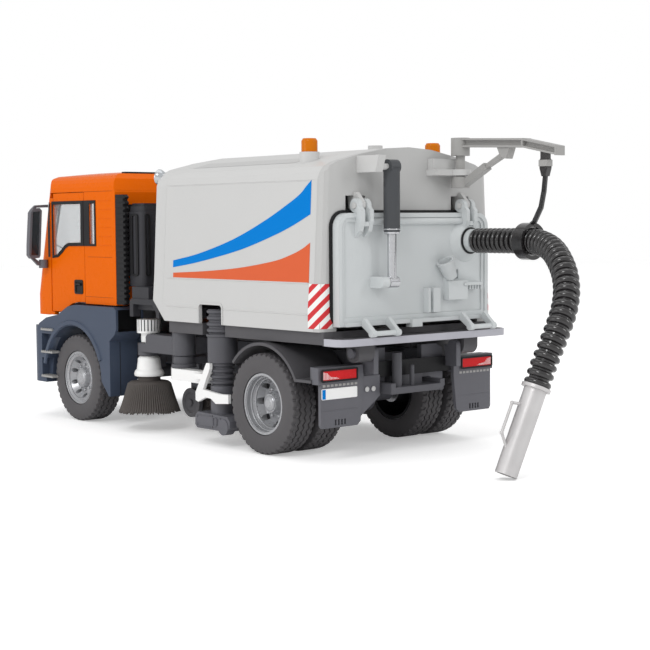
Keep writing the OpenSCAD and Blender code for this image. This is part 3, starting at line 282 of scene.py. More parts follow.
def piece(name, part, material, body, smooth=True):
    """Object from points in the frame, riding a body."""
    points, faces = part
    mesh = bpy.data.meshes.new(name)
    mesh.from_pydata(points.tolist(), [], faces.tolist())
    mesh.polygons.foreach_set("use_smooth", np.full(len(mesh.polygons), smooth))
    mesh.materials.append(look(material))
    mesh.update()
    if smooth:
        mesh.set_sharp_from_angle(angle=PIECE_SHARP)
    obj = bpy.data.objects.new(name, mesh)
    bpy.context.scene.collection.objects.link(obj)
    if body:
        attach(obj, body)
    return obj


def fitting(name, parts, material, body, smooth=True):
    """Piece out of parts in millimetres from the rear axle."""
    points, faces = joined(parts)
    return piece(name, (at(points), faces), material, body, smooth)


def rubber(name, parts, body):
    """Fitting of black rubber."""
    return fitting(name, parts, "rubber_black", body)


def linear(hexcode):
    """Linear colour of an sRGB hex code."""
    c = np.array([int(hexcode[k : k + 2], 16) for k in (0, 2, 4)]) / 255
    c = np.where(c <= 0.04045, c / 12.92, ((c + 0.055) / 1.055) ** 2.4)
    return (*c.tolist(), 1.0)


def fill(made, values):
    """Sets inputs of a shader node by name or number."""
    for key, value in values.items():
        made.inputs[key].default_value = value
    return made


def node(tree, kind, place=(0, 0), **values):
    """Shader node with its options and its input values set by name. Group ends are named in full."""
    made = tree.nodes.new(kind if kind.startswith("NodeGroup") else "ShaderNode" + kind)
    made.location = place
    for key, value in values.items():
        if key in made.inputs:
            made.inputs[key].default_value = value
        else:
            setattr(made, key, value)
    return made


def wire(tree, *rows):
    """Links of a node tree, each from a node's output to another node's input."""
    for start, out, end, into in rows:
        tree.links.new(start.outputs[out], end.inputs[into])


def moulded_group():
    """Node group of moulded plastic: slow colour drift, patchy gloss and the fine grain of a mould."""
    tree = bpy.data.node_groups.new("moulded_plastic", "ShaderNodeTree")
    for direction, kind, names in (
        ("INPUT", "Color", ("Colour",)),
        ("INPUT", "Float", ("Drift", "Gloss Break", "Roughness", "Grain Scale")),
        ("OUTPUT", "Color", ("Colour",)),
        ("OUTPUT", "Float", ("Roughness", "Height")),
    ):
        for name in names:
            tree.interface.new_socket(name, in_out=direction, socket_type="NodeSocket" + kind)
    entry = node(tree, "NodeGroupInput", (-900, 0))
    leave = node(tree, "NodeGroupOutput", (500, 0))
    where = node(tree, "TexCoord", (-900, -300))
    slow = node(tree, "TexNoise", (-600, 200), Scale=38.0, Detail=3.0)
    patch = node(tree, "TexNoise", (-600, -100), Scale=140.0, Detail=4.0)
    fine = node(tree, "TexNoise", (-600, -400), Detail=2.0)
    centre = fill(node(tree, "Math", (-400, 200), operation="SUBTRACT"), {1: 0.5})
    value = fill(node(tree, "Math", (-200, 200), operation="MULTIPLY_ADD"), {2: 1.0})
    tint = node(tree, "HueSaturation", (100, 200))
    off = fill(node(tree, "Math", (-400, -100), operation="SUBTRACT"), {1: 0.5})
    gloss = node(tree, "Math", (-200, -100), operation="MULTIPLY_ADD")
    wire(
        tree,
        *[(where, "Object", noise, "Vector") for noise in (slow, patch, fine)],
        (entry, "Grain Scale", fine, "Scale"),
        (slow, "Fac", centre, 0),
        (centre, 0, value, 0),
        (entry, "Drift", value, 1),
        (value, 0, tint, "Value"),
        (entry, "Colour", tint, "Color"),
        (tint, "Color", leave, "Colour"),
        (patch, "Fac", off, 0),
        (off, 0, gloss, 0),
        (entry, "Gloss Break", gloss, 1),
        (entry, "Roughness", gloss, 2),
        (gloss, 0, leave, "Roughness"),
        (fine, "Fac", leave, "Height"),
    )
    return tree


# material: colour, colour drift, roughness, gloss break, grain per metre, grain depth, edge softness in mm, coat,
# specular
PLASTICS = {
    "chassis_plastic": ("5A5A5F", 0.10, 0.40, 0.16, 2600, 0.10, 0.35, 0.0, 0.25),
    "dark_plastic": ("66666C", 0.12, 0.42, 0.18, 2600, 0.10, 0.30, 0.0, 0.30),
    "guard_plastic": ("575659", 0.12, 0.44, 0.18, 2600, 0.10, 0.30, 0.0, 0.25),
    "ram_plastic": ("4C4E51", 0.08, 0.36, 0.14, 2600, 0.08, 0.30, 0.0, 0.20),
    "stack_plastic": ("38383C", 0.12, 0.40, 0.18, 2600, 0.10, 0.30, 0.0, 0.22),
    # paler grey than the platform: painted highlight on the platform's edge
    "platform_plastic": ("B6B6BE", 0.16, 0.40, 0.20, 2600, 0.20, 0.35, 0.0, 0.30),
    "slate_plastic": ("475163", 0.08, 0.34, 0.14, 2600, 0.08, 0.40, 0.05, 0.18),
    "orange_plastic": ("E96802", 0.05, 0.28, 0.10, 1400, 0.04, 0.50, 0.0, 0.05),
    "light_plastic": ("CCCCCB", 0.03, 0.34, 0.12, 1800, 0.06, 0.40, 0.05, 0.25),
    # darker copy of light_plastic: painted shade on the container's rear wall and on the roof bands
    "rear_plastic": ("BFBFBE", 0.03, 0.34, 0.12, 1800, 0.06, 0.40, 0.05, 0.25),
    "white_plastic": ("FAFAF9", 0.03, 0.30, 0.10, 1800, 0.05, 0.35, 0.05, 0.30),
    "gate_plastic": ("CED2D3", 0.04, 0.36, 0.12, 1800, 0.06, 0.35, 0.05, 0.25),
    "boom_plastic": ("A5A4A2", 0.06, 0.36, 0.14, 2000, 0.08, 0.30, 0.0, 0.30),
    "nozzle_plastic": ("CFCDCD", 0.34, 0.36, 0.24, 1500, 0.22, 0.30, 0.0, 0.30),
    "rod_plastic": ("CFD0D3", 0.05, 0.20, 0.10, 2000, 0.05, 0.25, 0.0, 0.40),
    "tyre": ("555355", 0.14, 0.50, 0.16, 3200, 0.16, 0.20, 0.0, 0.35),
    "rim_plastic": ("B2B3B6", 0.05, 0.28, 0.12, 2000, 0.05, 0.25, 0.0, 0.40),
    "bristle": ("595451", 0.26, 0.62, 0.18, 3600, 0.20, 0.20, 0.0, 0.25),
    "hose_rubber": ("232122", 0.12, 0.24, 0.12, 2600, 0.06, 0.20, 0.85, 0.40),
    "lamp_red": ("DA1C22", 0.06, 0.16, 0.06, 900, 0.04, 0.30, 0.1, 0.15),
    "lamp_amber": ("D27200", 0.05, 0.16, 0.06, 900, 0.04, 0.40, 0.1, 0.15),
    "lamp_clear": ("DADDE0", 0.05, 0.14, 0.05, 900, 0.04, 0.30, 0.4, 0.40),
    "stripe_blue": ("007DD2", 0.03, 0.30, 0.08, 1800, 0.03, 0.10, 0.0, 0.05),
    "stripe_orange": ("DB6238", 0.03, 0.30, 0.08, 1800, 0.03, 0.10, 0.0, 0.20),
    # also the black of painted shade: the tail sheet, the rim holes and backs, the fender wells and the cover
    # holes
    "rubber_black": ("1F1F21", 0.10, 0.46, 0.14, 3000, 0.10, 0.20, 0.0, 0.22),
    "seam_orange": ("A84A0A", 0.05, 0.40, 0.10, 1400, 0.04, 0.10, 0.0, 0.10),
    "mirror_silver": ("C4C8CC", 0.04, 0.12, 0.06, 900, 0.02, 0.15, 0.3, 0.40),
    "mirror_dark": ("2B2E32", 0.06, 0.10, 0.05, 900, 0.02, 0.15, 0.4, 0.40),
}

# share of metal in the silvered plastics
SILVERED = {"rim_plastic": 0.55, "rod_plastic": 0.8, "mirror_silver": 0.7, "nozzle_plastic": 0.45}

# solids whose own shade differs from the others of their slot
SHADES = {
    "nozzle": "nozzle_plastic",
    "ram_barrel": "ram_plastic",
    "rear_mudguards": "guard_plastic",
    "container_base": "guard_plastic",
    "intake_stack": "stack_plastic",
    # painted shade: the container's rear wall in a darker copy of the container's plastic
    "container_rear": "rear_plastic",
}

COAT_ROUGHNESS = 0.12
GRAIN_HEIGHT = 0.0004


def tone(name):
    """Colour of a plastic: from the settings where they hold it, or else from the table."""
    paint = bpy.context.scene.sweep_paint
    return tuple(getattr(paint, name)) if hasattr(paint, name) else linear(PLASTICS[name][0])


def moulded(tree, group, place, colour, drift, rough, gloss_break, scale):
    """Node of the moulded plastic group with its inputs."""
    made = node(tree, "Group", place, node_tree=group)
    fill(made, {"Colour": colour, "Drift": drift, "Roughness": rough})
    return fill(made, {"Gloss Break": gloss_break, "Grain Scale": scale})


def plastic(name, group):
    """Principled material fed by the moulded plastic group, with rounded edges from the Bevel node."""
    drift, rough, gloss_break, scale, depth, edge, coat, specular = PLASTICS[name][1:]
    material, tree, shader = new_look(name)
    effect = moulded(tree, group, (-700, 100), tone(name), drift, rough, gloss_break, scale)
    edges = node(tree, "Bevel", (-700, -300), samples=4, Radius=edge * MM)
    bump = node(tree, "Bump", (-350, -200), Strength=depth, Distance=GRAIN_HEIGHT)
    fill(shader, {"Specular IOR Level": specular, "Metallic": SILVERED.get(name, 0.0)})
    fill(shader, {"Coat Weight": coat, "Coat Roughness": COAT_ROUGHNESS})
    wire(
        tree,
        (effect, "Colour", shader, "Base Color"),
        (effect, "Roughness", shader, "Roughness"),
        (effect, "Height", bump, "Height"),
        (edges, "Normal", bump, "Normal"),
        (bump, "Normal", shader, "Normal"),
    )
    material.diffuse_color = tone(name)
    return material


def glass_material(group):
    """Thin clear glazing: a faint cool tint that mostly lets through, with soft smears in its gloss."""
    _, tree, shader = new_look("glass")
    effect = moulded(tree, group, (-500, 100), linear("C9D2D6"), 0.06, 0.05, 0.05, 400)
    fill(shader, {"Alpha": 0.22, "Coat Weight": 0.5})
    wire(tree, (effect, "Colour", shader, "Base Color"), (effect, "Roughness", shader, "Roughness"))


def hazard_material(group):
    """Red and white slanting bands: the fraction of (across + up) over the pitch is red below one half."""
    material = plastic("stripe_orange", group)
    material.name = "look_hazard"
    tree = material.node_tree
    uv = node(tree, "UVMap", (-1500, 200), uv_map="band")
    split = node(tree, "SeparateXYZ", (-1300, 200))
    total = node(tree, "Math", (-1150, 200), operation="ADD")
    part = node(tree, "Math", (-1000, 200), operation="FRACT")
    half = fill(node(tree, "Math", (-900, 200), operation="LESS_THAN"), {1: 0.5})
    mix = node(tree, "Mix", (-850, 300), data_type="RGBA")
    fill(mix, {"A": linear("F2F1EF"), "B": linear("D2353A")})
    effect = next(n for n in tree.nodes if n.type == "GROUP")
    wire(
        tree,
        (uv, "UV", split, 0),
        (split, "X", total, 0),
        (split, "Y", total, 1),
        (total, 0, part, 0),
        (part, 0, half, 0),
        (half, 0, mix, "Factor"),
        (mix, "Result", effect, "Colour"),
    )


def length(name, description, default):
    """Property that holds a length."""
    return FloatProperty(name=name, description=description, default=default, unit="LENGTH")


def angle(name, description, default):
    """Property that holds an angle."""
    return FloatProperty(name=name, description=description, default=default, subtype="ANGLE")


def colour(name, description, plastic_name):
    """Property that holds the colour of a plastic."""
    default = linear(PLASTICS[plastic_name][0])
    return FloatVectorProperty(
        name=name, description=description, default=default, size=4, min=0.0, max=1.0, subtype="COLOR"
    )


class PaintSettings(bpy.types.PropertyGroup):
    """Colours of the large pieces and the printed stripes, under the names of their plastics."""

    orange_plastic: colour("Cab", "Colour of the cab and its doors", "orange_plastic")
    light_plastic: colour("Container", "Colour of the container", "light_plastic")
    gate_plastic: colour("Tailgate", "Colour of the tailgate", "gate_plastic")
    slate_plastic: colour("Fenders", "Colour of the bumper and the fenders", "slate_plastic")
    tyre: colour("Tyres", "Colour of the tyres", "tyre")
    hose_rubber: colour("Hose", "Colour of the suction hose", "hose_rubber")
    stripe_blue: colour("Upper stripe", "Colour of the upper swoosh", "stripe_blue")
    stripe_orange: colour("Lower stripe", "Colour of the lower swoosh", "stripe_orange")


class StageSettings(bpy.types.PropertyGroup):
    """Camera and light of the studio."""

    eye: FloatVectorProperty(
        name="Eye",
        description="Camera place in mm from the rear axle",
        default=(-668.192, -751.691, 149.484),
        subtype="XYZ",
    )
    yaw: angle("Yaw", "Turn of the view to the right", 0.708339)
    pitch: angle("Pitch", "Tip of the view upwards", -0.0685886)
    roll: angle("Roll", "Lean of the picture", -0.0076458)
    focal: FloatProperty(name="Focal", description="Focal length in picture widths", default=1488.855 / 650)
    key_power: FloatProperty(name="Key", description="Power of the main lamp", default=10.0, unit="POWER")
    sky: FloatProperty(name="Sky", description="Strength of the even light all round", default=0.68)


class HoseSettings(bpy.types.PropertyGroup):
    """Corrugated suction hose."""

    ridge: length("Ridge", "Outer radius", 0.0082)
    depth: length("Depth", "Depth of the grooves", 0.0021)
    pitch_top: length("Top pitch", "Ring spacing at the port", 0.0036)
    pitch_low: length("Low pitch", "Ring spacing below", 0.0054)
    fullness: FloatProperty(
        name="Fullness", description="Share of the spacing that a ring fills", default=0.78, subtype="FACTOR"
    )
    sides: IntProperty(name="Sides", description="Faces round the hose", default=40)


class TyreSettings(bpy.types.PropertyGroup):
    """Moulded tyre tread."""

    lugs: IntProperty(name="Lugs", description="Zigzags and shoulder notches in a turn", default=40)
    depth: length("Depth", "Depth of the grooves", 0.0012)
    swing: length("Swing", "Half swing of a zigzag", 0.0008)
    groove: length("Groove", "Width of a groove", 0.0011)


class BrushSettings(bpy.types.PropertyGroup):
    """Moulded bristle skirt of the gutter brooms."""

    flutes: IntProperty(name="Flutes", description="Tufts round the skirt", default=72)
    depth: length("Depth", "Depth between two tufts", 0.0009)
    ragged: length("Ragged", "Unevenness of the tips", 0.0014)


class SWEEP_OT_stage(bpy.types.Operator):
    """Camera of the photograph, a pale floor and soft studio light"""

    bl_idname = "sweep.stage"
    bl_label = "Stage"

    SENSOR = 36.0
    FLOOR_HALF = 4.0
    # lamp: place, width, height and share of the key lamp's power
    LAMPS = {
        "key": ((-1.5, -0.75, 1.35), 0.6, 0.6, 1.0),
        "fill": ((1.0, -1.65, 0.9), 0.34, 0.8, 0.5),
        "top": ((0.1, 0.2, 2.0), 1.6, 1.6, 0.6),
        "low": ((-1.7, 0.45, 0.3), 0.9, 0.9, 0.3),
    }

    def execute(self, context):
        scene = context.scene
        values = scene.sweep_stage
        camera = bpy.data.objects.new("camera", bpy.data.cameras.new("camera"))
        camera.data.sensor_width = self.SENSOR
        camera.data.lens = values.focal * self.SENSOR
        camera.data.clip_start = 0.01
        turn = self.view(values.yaw, values.pitch, values.roll)
        camera.matrix_world = Matrix.Translation(Vector(at(values.eye))) @ turn
        scene.collection.objects.link(camera)
        scene.camera = camera
        floor = self.floor()
        lamps = [
            self.lamp(scene, name, place, width, height, values.key_power * share)
            for name, (place, width, height, share) in self.LAMPS.items()
        ]
        self.world(scene, values.sky)
        scene.view_settings.view_transform = "Standard"
        return {"FINISHED"}

    def view(self, yaw, pitch, roll):
        """Turn of the camera: its sides level, then leaned by the roll about the line of sight."""
        cos, sin = math.cos, math.sin
        ahead = np.array([sin(yaw) * cos(pitch), cos(yaw) * cos(pitch), sin(pitch)])
        right = np.array([cos(yaw), -sin(yaw), 0])
        up = np.cross(right, ahead)
        sides = [cos(roll) * right + sin(roll) * up, cos(roll) * up - sin(roll) * right, -ahead]
        return Matrix(np.stack(sides, 1)).to_4x4()

    def lamp(self, scene, name, place, width, height, power):
        """Rectangular lamp that shines at the origin."""
        light = bpy.data.lights.new(name, "AREA")
        light.shape = "RECTANGLE"
        light.size, light.size_y = width, height
        light.energy = power
        obj = bpy.data.objects.new(name, light)
        turn = Vector(place).to_track_quat("Z", "Y").to_matrix().to_4x4()
        obj.matrix_world = Matrix.Translation(place) @ turn
        scene.collection.objects.link(obj)
        return obj

    def seen_white(self, tree, lit, white, place):
        """Mixes the lit shader into the whiter one for rays that look at the background."""
        x, y = place
        rays = node(tree, "LightPath", place)
        first = node(tree, "Math", (x + 200, y), operation="MAXIMUM")
        mix = node(tree, "MixShader", (x + 400, y))
        wire(
            tree,
            (rays, "Is Camera Ray", first, 0),
            (rays, "Is Transmission Ray", first, 1),
            (first, 0, mix, 0),
            (lit, 0, mix, 1),
            (white, 0, mix, 2),
        )
        return mix

    def world(self, scene, strength):
        """Even white light all round, and plain white where the background is seen."""
        world = bpy.data.worlds.new("studio")
        scene.world = world
        world.use_nodes = True
        tree = world.node_tree
        lit = fill(tree.nodes["Background"], {"Color": (1, 1, 1, 1), "Strength": strength})
        white = node(tree, "Background", (-200, -200), Color=(1, 1, 1, 1), Strength=1.0)
        mix = self.seen_white(tree, lit, white, (-800, 300))
        wire(tree, (mix, 0, tree.nodes["World Output"], "Surface"))

    def floor(self):
        """Square floor, pale and matt, with a faint unevenness."""
        x = np.linspace(-self.FLOOR_HALF, self.FLOOR_HALF, 9)
        grid = np.stack(np.broadcast_arrays(x[None, :], x[:, None], 0.0), -1)
        _, tree, shader = new_look("floor")
        where = node(tree, "TexCoord", (-800, 0))
        noise = node(tree, "TexNoise", (-600, 0), Scale=6.0, Detail=2.0)
        ramp = fill(node(tree, "MapRange", (-400, 0)), {"To Min": 0.75, "To Max": 0.95})
        fill(shader, {"Base Color": (0.95, 0.95, 0.95, 1), "Specular IOR Level": 0.1})
        glow = node(tree, "Emission", (-200, -300), Color=(1, 1, 1, 1), Strength=0.34)
        glowing = node(tree, "AddShader", (0, -200))
        mix = self.seen_white(tree, shader, glowing, (-800, 400))
        wire(
            tree,
            (where, "Object", noise, "Vector"),
            (noise, "Fac", ramp, "Value"),
            (ramp, "Result", shader, "Roughness"),
            (shader, 0, glowing, 0),
            (glow, 0, glowing, 1),
            (mix, 0, tree.nodes["Material Output"], "Surface"),
        )
        return piece("floor", surface(grid), "floor", None)


class SWEEP_OT_plastics(bpy.types.Operator):
    """Material of every CAD solid, by the material slot its record names"""

    bl_idname = "sweep.plastics"
    bl_label = "Plastics"

    def execute(self, context):
        group = moulded_group()
        for name in PLASTICS:
            plastic(name, group)
        glass_material(group)
        hazard_material(group)
        for row in frame["record"]["subparts"]:
            mesh = frame["nodes"][row["node"]].data
            mesh.materials.clear()
            mesh.materials.append(look(SHADES.get(row["node"], row["material_slot"])))
            mesh.set_sharp_from_angle(angle=SOLID_SHARP)
        return {"FINISHED"}


class SWEEP_OT_hose(bpy.types.Operator):
    """Corrugated hose from the tailgate port through the collar to the nozzle. Across the share of the spacing
    that a ring fills, the radius follows a half circle up from the groove. Between two rings the wall is
    plain."""

    bl_idname = "sweep.hose"
    bl_label = "Hose"

    STEPS = 900
    # share of the length over which the ring spacing widens
    WIDENING = 0.6

    def execute(self, context):
        values = context.scene.sweep_hose
        path = smooth_line(at(HOSE_ROUTE), self.STEPS)
        along = lengths(path)
        share = np.clip(along / along[-1] / self.WIDENING, 0, 1)
        pitch = values.pitch_top + (values.pitch_low - values.pitch_top) * share
        turns = np.concatenate([[0], np.cumsum(np.diff(along) / pitch[1:])])
        off_ring = np.abs(turns % 1 - 0.5) * 2 / values.fullness
        radius = values.ridge - values.depth * (1 - np.sqrt(np.clip(1 - off_ring**2, 0, 1)))
        hose = piece("hose_ringed", tube(path, radius, values.sides), "hose_rubber", None)
        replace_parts(hose, "hose")
        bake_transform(hose)
        return {"FINISHED"}


class SWEEP_OT_tyres(bpy.types.Operator):
    """Tyres with zigzag grooves and notched shoulders in place of the plain CAD ones"""

    bl_idname = "sweep.tyres"
    bl_label = "Tyres"

    # radius of the bore as a share of the tyre's, and steps round one lug
    BORE = 20 / 33
    LUG_STEPS = 8

    def execute(self, context):
        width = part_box("tyre_fl")[1].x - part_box("tyre_fl")[0].x
        for corner in ("fl", "fr", "rl", "rr"):
            low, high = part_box("tyre_" + corner)
            centres = [low.x + width / 2, high.x - width / 2]
            if corner[0] == "f":
                centres = [(low.x + high.x) / 2]
            hub = Vector(AXLE[corner])
            values = (context.scene.sweep_tyres, width, high.z - hub.z)
            rings = [self.tyre(*values, (x, hub.y, hub.z)) for x in centres]
            tread = piece("tread_" + corner, joined(rings), "tyre", "wheel_" + corner)
            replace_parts(tread, "tyre_" + corner)
        return {"FINISHED"}

    def tyre(self, values, width, outer, hub):
        """Closed section of (across, radius) swept round the hub: across swings by a triangle wave on the tread,
        and the radius drops in the grooves and, by turns, in the shoulder notches."""
        half, inner = width / 2, outer * self.BORE
        steps = values.lugs * self.LUG_STEPS
        lug = np.arange(steps)[:, None] / self.LUG_STEPS
        wave = np.abs((lug + 0.25) % 1 * 2 - 1) * 2 - 1
        notch = np.clip(np.cos(lug * 2 * np.pi) * 3 - 1, 0, 1)
        # across, radius, share of the swing, share of the notch
        section = [(-half * 0.55, inner, 0, 0), (-half * 0.8, inner + half * 0.06, 0, 0)]
        bulge = np.linspace(-0.94, 0.78, 9)
        middle, reach = (outer + inner) / 2, (outer - inner) / 2
        side = [(-half * (0.9 + 0.1 * math.cos(b * math.pi / 2)), middle + b * reach, 0) for b in bulge]
        section += [(*spot, 0) for spot in side[:-2]] + [(*spot, 0.5) for spot in side[-2:]]
        section += [(-half * 0.93, outer - half * 0.09, 0, 0.9), (-half * 0.84, outer - half * 0.025, 0, 1)]
        section += [(-half * 0.7, outer, 0, 1), (-half * 0.66, outer, 0.6, 0)]
        wall = section[:]
        edge, floor = values.groove / 2, outer - values.depth
        groove = ((-edge, outer), (-edge * 0.7, floor), (edge * 0.7, floor), (edge, outer))
        for line in (-half * 0.44, 0.0, half * 0.44):
            section += [(line + x, r, 1, 0) for x, r in groove]
        section += [(-x, r, swing, cut) for x, r, swing, cut in wall[::-1]]
        x, r, swing, cut = np.array(section).T
        turn = full_turn(steps)[:, None]
        across = x + swing * values.swing * wave
        radius = r - cut * values.depth * 0.8 * notch
        grid = np.stack([across, radius * np.cos(turn), radius * np.sin(turn)], -1) + hub
        return surface(grid, close_rows=True)


class SWEEP_OT_brushes(bpy.types.Operator):
    """Fluted bristle skirts and knob grooves of the two gutter brooms, with painted shade in the grooves, tufts
    and end wheels of the roller broom, and relief on the suction mouths"""

    bl_idname = "sweep.brushes"
    bl_label = "Brushes"

    # steps round one tuft of a skirt
    TUFT_STEPS = 7
    # section of a skirt: radius share, height share, flute share, lift share
    SECTION = (
        (0.10, 1.0, 0, 0), (0.30, 1.0, 0, 0), (0.355, 0.98, 0, 0), (0.355, 0.87, 0, 0),
        (0.50, 0.86, 0, 0), (0.61, 0.845, 0.1, 0), (0.69, 0.79, 0.5, 0), (0.755, 0.60, 1, 0),
        (0.83, 0.38, 1, 0), (0.91, 0.18, 1, 0), (0.965, 0.03, 1, 0.6), (0.985, 0.0, 1, 1),
        (0.93, 0.0, 0.5, 1), (0.80, 0.10, 0, 0.3), (0.5, 0.30, 0, 0), (0.10, 0.34, 0, 0),
    )

    def execute(self, context):
        drum, wheels = self.roller(*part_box("roller_broom"))
        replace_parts(piece("roller_tufts", drum, "bristle", "roller"), "roller_broom")
        piece("roller_wheels", wheels, "guard_plastic", "roller")
        for side in ("left", "right"):
            node_name, body = "broom_brush_" + side, "brush_" + side
            low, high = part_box(node_name)
            skirt = self.skirt(context.scene.sweep_brushes, low, high)
            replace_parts(piece("bristles_" + side, skirt, "bristle", body), node_name)
            knob = self.knob(millimetres((low + high) / 2))
            fitting("knob_grooves_" + side, knob, "chassis_plastic", body)
        self.mouths()
        return {"FINISHED"}

    def knob(self, centre):
        """Dark strips on the floors of the twenty grooves round the broom's knob: painted shade in the grooves."""
        radius, bottom, top = 8.2, 72.3, 80.5
        x, y, _ = centre
        grooves = []
        for turn in full_turn(20):
            out = np.array([math.cos(turn), math.sin(turn), 0])
            ends = [(x, y, z) + out * radius for z in (bottom, top)]
            grooves.append(strip(ends, 0.45, 0.02, out))
        return grooves

    def mouths(self):
        """Seam, pocket frames, ribs and screws on the outer faces of the two suction mouths."""
        face = -79.0

        def on_face(points):
            """Outline of (y, z) on the left mouth's outer face."""
            return [(face, y, z) for y, z in points]

        seam = [strip(on_face([(53, 12), (53, 21)]), 0.4, 0.08, TO_LEFT)]
        relief = []
        for y in (44.0, 48.6):
            inner = rounded_loop((y + 0.7, 14.2), (y + 3.3, 19.3), 0.4, 3)
            outer = rounded_loop((y, 13.5), (y + 4.0, 20.0), 0.8, 3)
            relief.append(bead(on_face(inner), on_face(outer), 0.5, TO_LEFT))
        relief += [strip(on_face([(55, z), (68, z)]), 0.35, 0.35, TO_LEFT) for z in (12.6, 20.2)]
        relief += [disc((face, 70.6, z), TO_LEFT, 0.9, 0.5, 20) for z in (13.6, 19.2)]
        rubber("mouth_seams", both(seam), "chassis")
        fitting("mouth_relief", both(relief), "dark_plastic", "chassis")

    def roller(self, low, high):
        """Drum whose radius falls between tufts that run in ten screw lines: |sin| of five turns plus the way
        along. The pin and the two end wheels stand outside the drum."""
        centre = np.array((low + high) / 2)
        radius, half = (high.z - low.z) / 2, (high.x - low.x) / 2
        wheel, reach = 4.5 * MM, half - 8.5 * MM
        sides, screw, rows = 160, 45, 18.5
        x = np.linspace(-reach, reach, 75)[:, None]
        turn = full_turn(sides)[None, :]
        wave = np.abs(np.sin(5 * turn + x * screw)) ** 0.6
        tuft = np.abs(np.sin(x / reach * np.pi * rows)) ** 0.5
        r = radius * (0.80 + 0.20 * wave * (0.55 + 0.45 * tuft))
        grid = np.stack(np.broadcast_arrays(x, r * np.cos(turn), r * np.sin(turn)), -1)
        caps = [np.tile((end * reach, 0.0, 0.0), (1, sides, 1)) for end in (-1, 1)]
        drum = surface(np.concatenate([caps[0], grid, caps[1]]) + centre, close_columns=True)
        rim, well = radius * 0.86, wheel - 1.3 * MM
        profile = [(0.0, 0.0), (rim, 0.0), (radius, 0.5 * MM), (radius, wheel - 0.9 * MM)]
        profile += [(rim, wheel - 0.4 * MM), (rim * 0.8, wheel - 0.5 * MM), (rim * 0.75, well)]
        profile += [(rim * 0.3, well), (rim * 0.26, wheel), (0.0, wheel)]
        left, right = [centre + (end * (half - wheel), 0, 0) for end in (-1, 1)]
        wheels = [revolved(profile, 48, left, (-1, 0, 0)), revolved(profile, 48, right, (1, 0, 0))]
        wheels.append(tube(np.array([left, centre, right]), 2.5 * MM, 20))
        return drum, joined(wheels)

    def skirt(self, values, low, high):
        """Closed section of (radius, height) turned about the spindle; outside, the radius falls between tufts by
        the depth, and the lower edge rises there and, by a share drawn for each tuft, where the tuft is short."""
        centre = (low + high) / 2
        turn = full_turn(values.flutes * self.TUFT_STEPS)[:, None]
        drop = 1 - np.abs(np.sin(turn * values.flutes / 2)) ** 0.8
        short = np.repeat(np.random.default_rng(7).random(values.flutes) ** 2, self.TUFT_STEPS)[:, None]
        r, h, flute, lift = np.array(self.SECTION).T
        radius = r * (high.x - low.x) / 2 - flute * values.depth * drop
        height = low.z + h * (high.z - low.z) + lift * (drop * values.depth * 1.6 + short * values.ragged)
        grid = np.stack([centre.x + radius * np.cos(turn), centre.y + radius * np.sin(turn), height], -1)
        return flipped(surface(grid, close_rows=True, close_columns=True))


class SWEEP_OT_decals(bpy.types.Operator):
    """Printed swooshes on the container's sides and warning bands on its rear corners"""

    bl_idname = "sweep.decals"
    bl_label = "Decals"

    # (distance ahead of the rear axle, height) along the lower and upper edges of the two swooshes
    SWOOSHES = {
        "stripe_blue": (
            ((-44.5, 154.8), (-28, 148), (-8.2, 141.4), (26.3, 132.1), (70.5, 123.8), (102.1, 119.4)),
            ((-44.5, 176), (-39.8, 172.5), (-33.6, 167.4), (-20.7, 160.8))
            + ((2.5, 150.5), (33.9, 139.1), (70.8, 129.6), (102.1, 124.2)),
        ),
        "stripe_orange": (
            ((-45, 112.3), (25.3, 112.2), (101.6, 112.0)),
            ((-45, 137.3), (-36.9, 133.1), (-25.6, 129.2), (-9, 125.2))
            + ((25.7, 120.5), (62.6, 117.6), (101.6, 115.7)),
        ),
    }
    # gap between the wall and a printed sheet
    OFF_SIDE, OFF_CORNER = 0.12, 0.15

    def execute(self, context):
        for name, edges in self.SWOOSHES.items():
            fitting(name, both([surface(self.swoosh(*edges))]), name, "container")
        self.hazard()
        return {"FINISHED"}

    def swoosh(self, low, high):
        """Sheet just off the side wall: height runs from the lower edge to the upper one at each distance."""
        steps = 90
        low, high = smooth_line(low, steps), smooth_line(high, steps)
        y = np.linspace(low[0, 0], low[-1, 0], steps)[:, None]
        bottom = np.interp(y, low[:, 0], low[:, 1])
        top = np.interp(y, high[:, 0], high[:, 1])
        z = bottom + (top - bottom) * np.linspace(0, 1, 14)
        return np.stack([-wall_x(z) - self.OFF_SIDE, np.broadcast_to(y, z.shape), z], -1)

    def hazard(self):
        """Sheet round the rear corner: along the side, a quarter turn and across the back. The bands are ruled
        straight as seen along the diagonal of the corner, from (x - y) / sqrt(2) and the height."""
        radius, back, front, inner, pitch = 5.0, -56.15, -45.3, 66.0, 8.2
        turn = np.linspace(0, np.pi / 2, 8)
        z = np.linspace(84, 111.8, 24)[None, :]
        x0 = wall_x(z) + self.OFF_CORNER
        run = [(-x0, front), (-x0, back + radius)]
        run += [(-x0 + radius * (1 - np.cos(t)), back + radius * (1 - np.sin(t))) for t in turn[1:]]
        run += [(np.full_like(x0, -inner), back)]
        grid = np.stack([np.stack(np.broadcast_arrays(x, y, z), -1)[0] for x, y in run])
        across = (grid[..., 0] - grid[..., 1]) / math.sqrt(2)
        band = np.stack([across / pitch, -grid[..., 2] / pitch], -1).reshape(-1, 2)
        obj = fitting("hazard_bands", both([surface(grid)]), "hazard", "container")
        layer = obj.data.uv_layers.new(name="band")
        corners = np.zeros(len(obj.data.loops), np.int32)
        obj.data.loops.foreach_get("vertex_index", corners)
        layer.data.foreach_set("uv", np.tile(band, (2, 1))[corners].ravel())


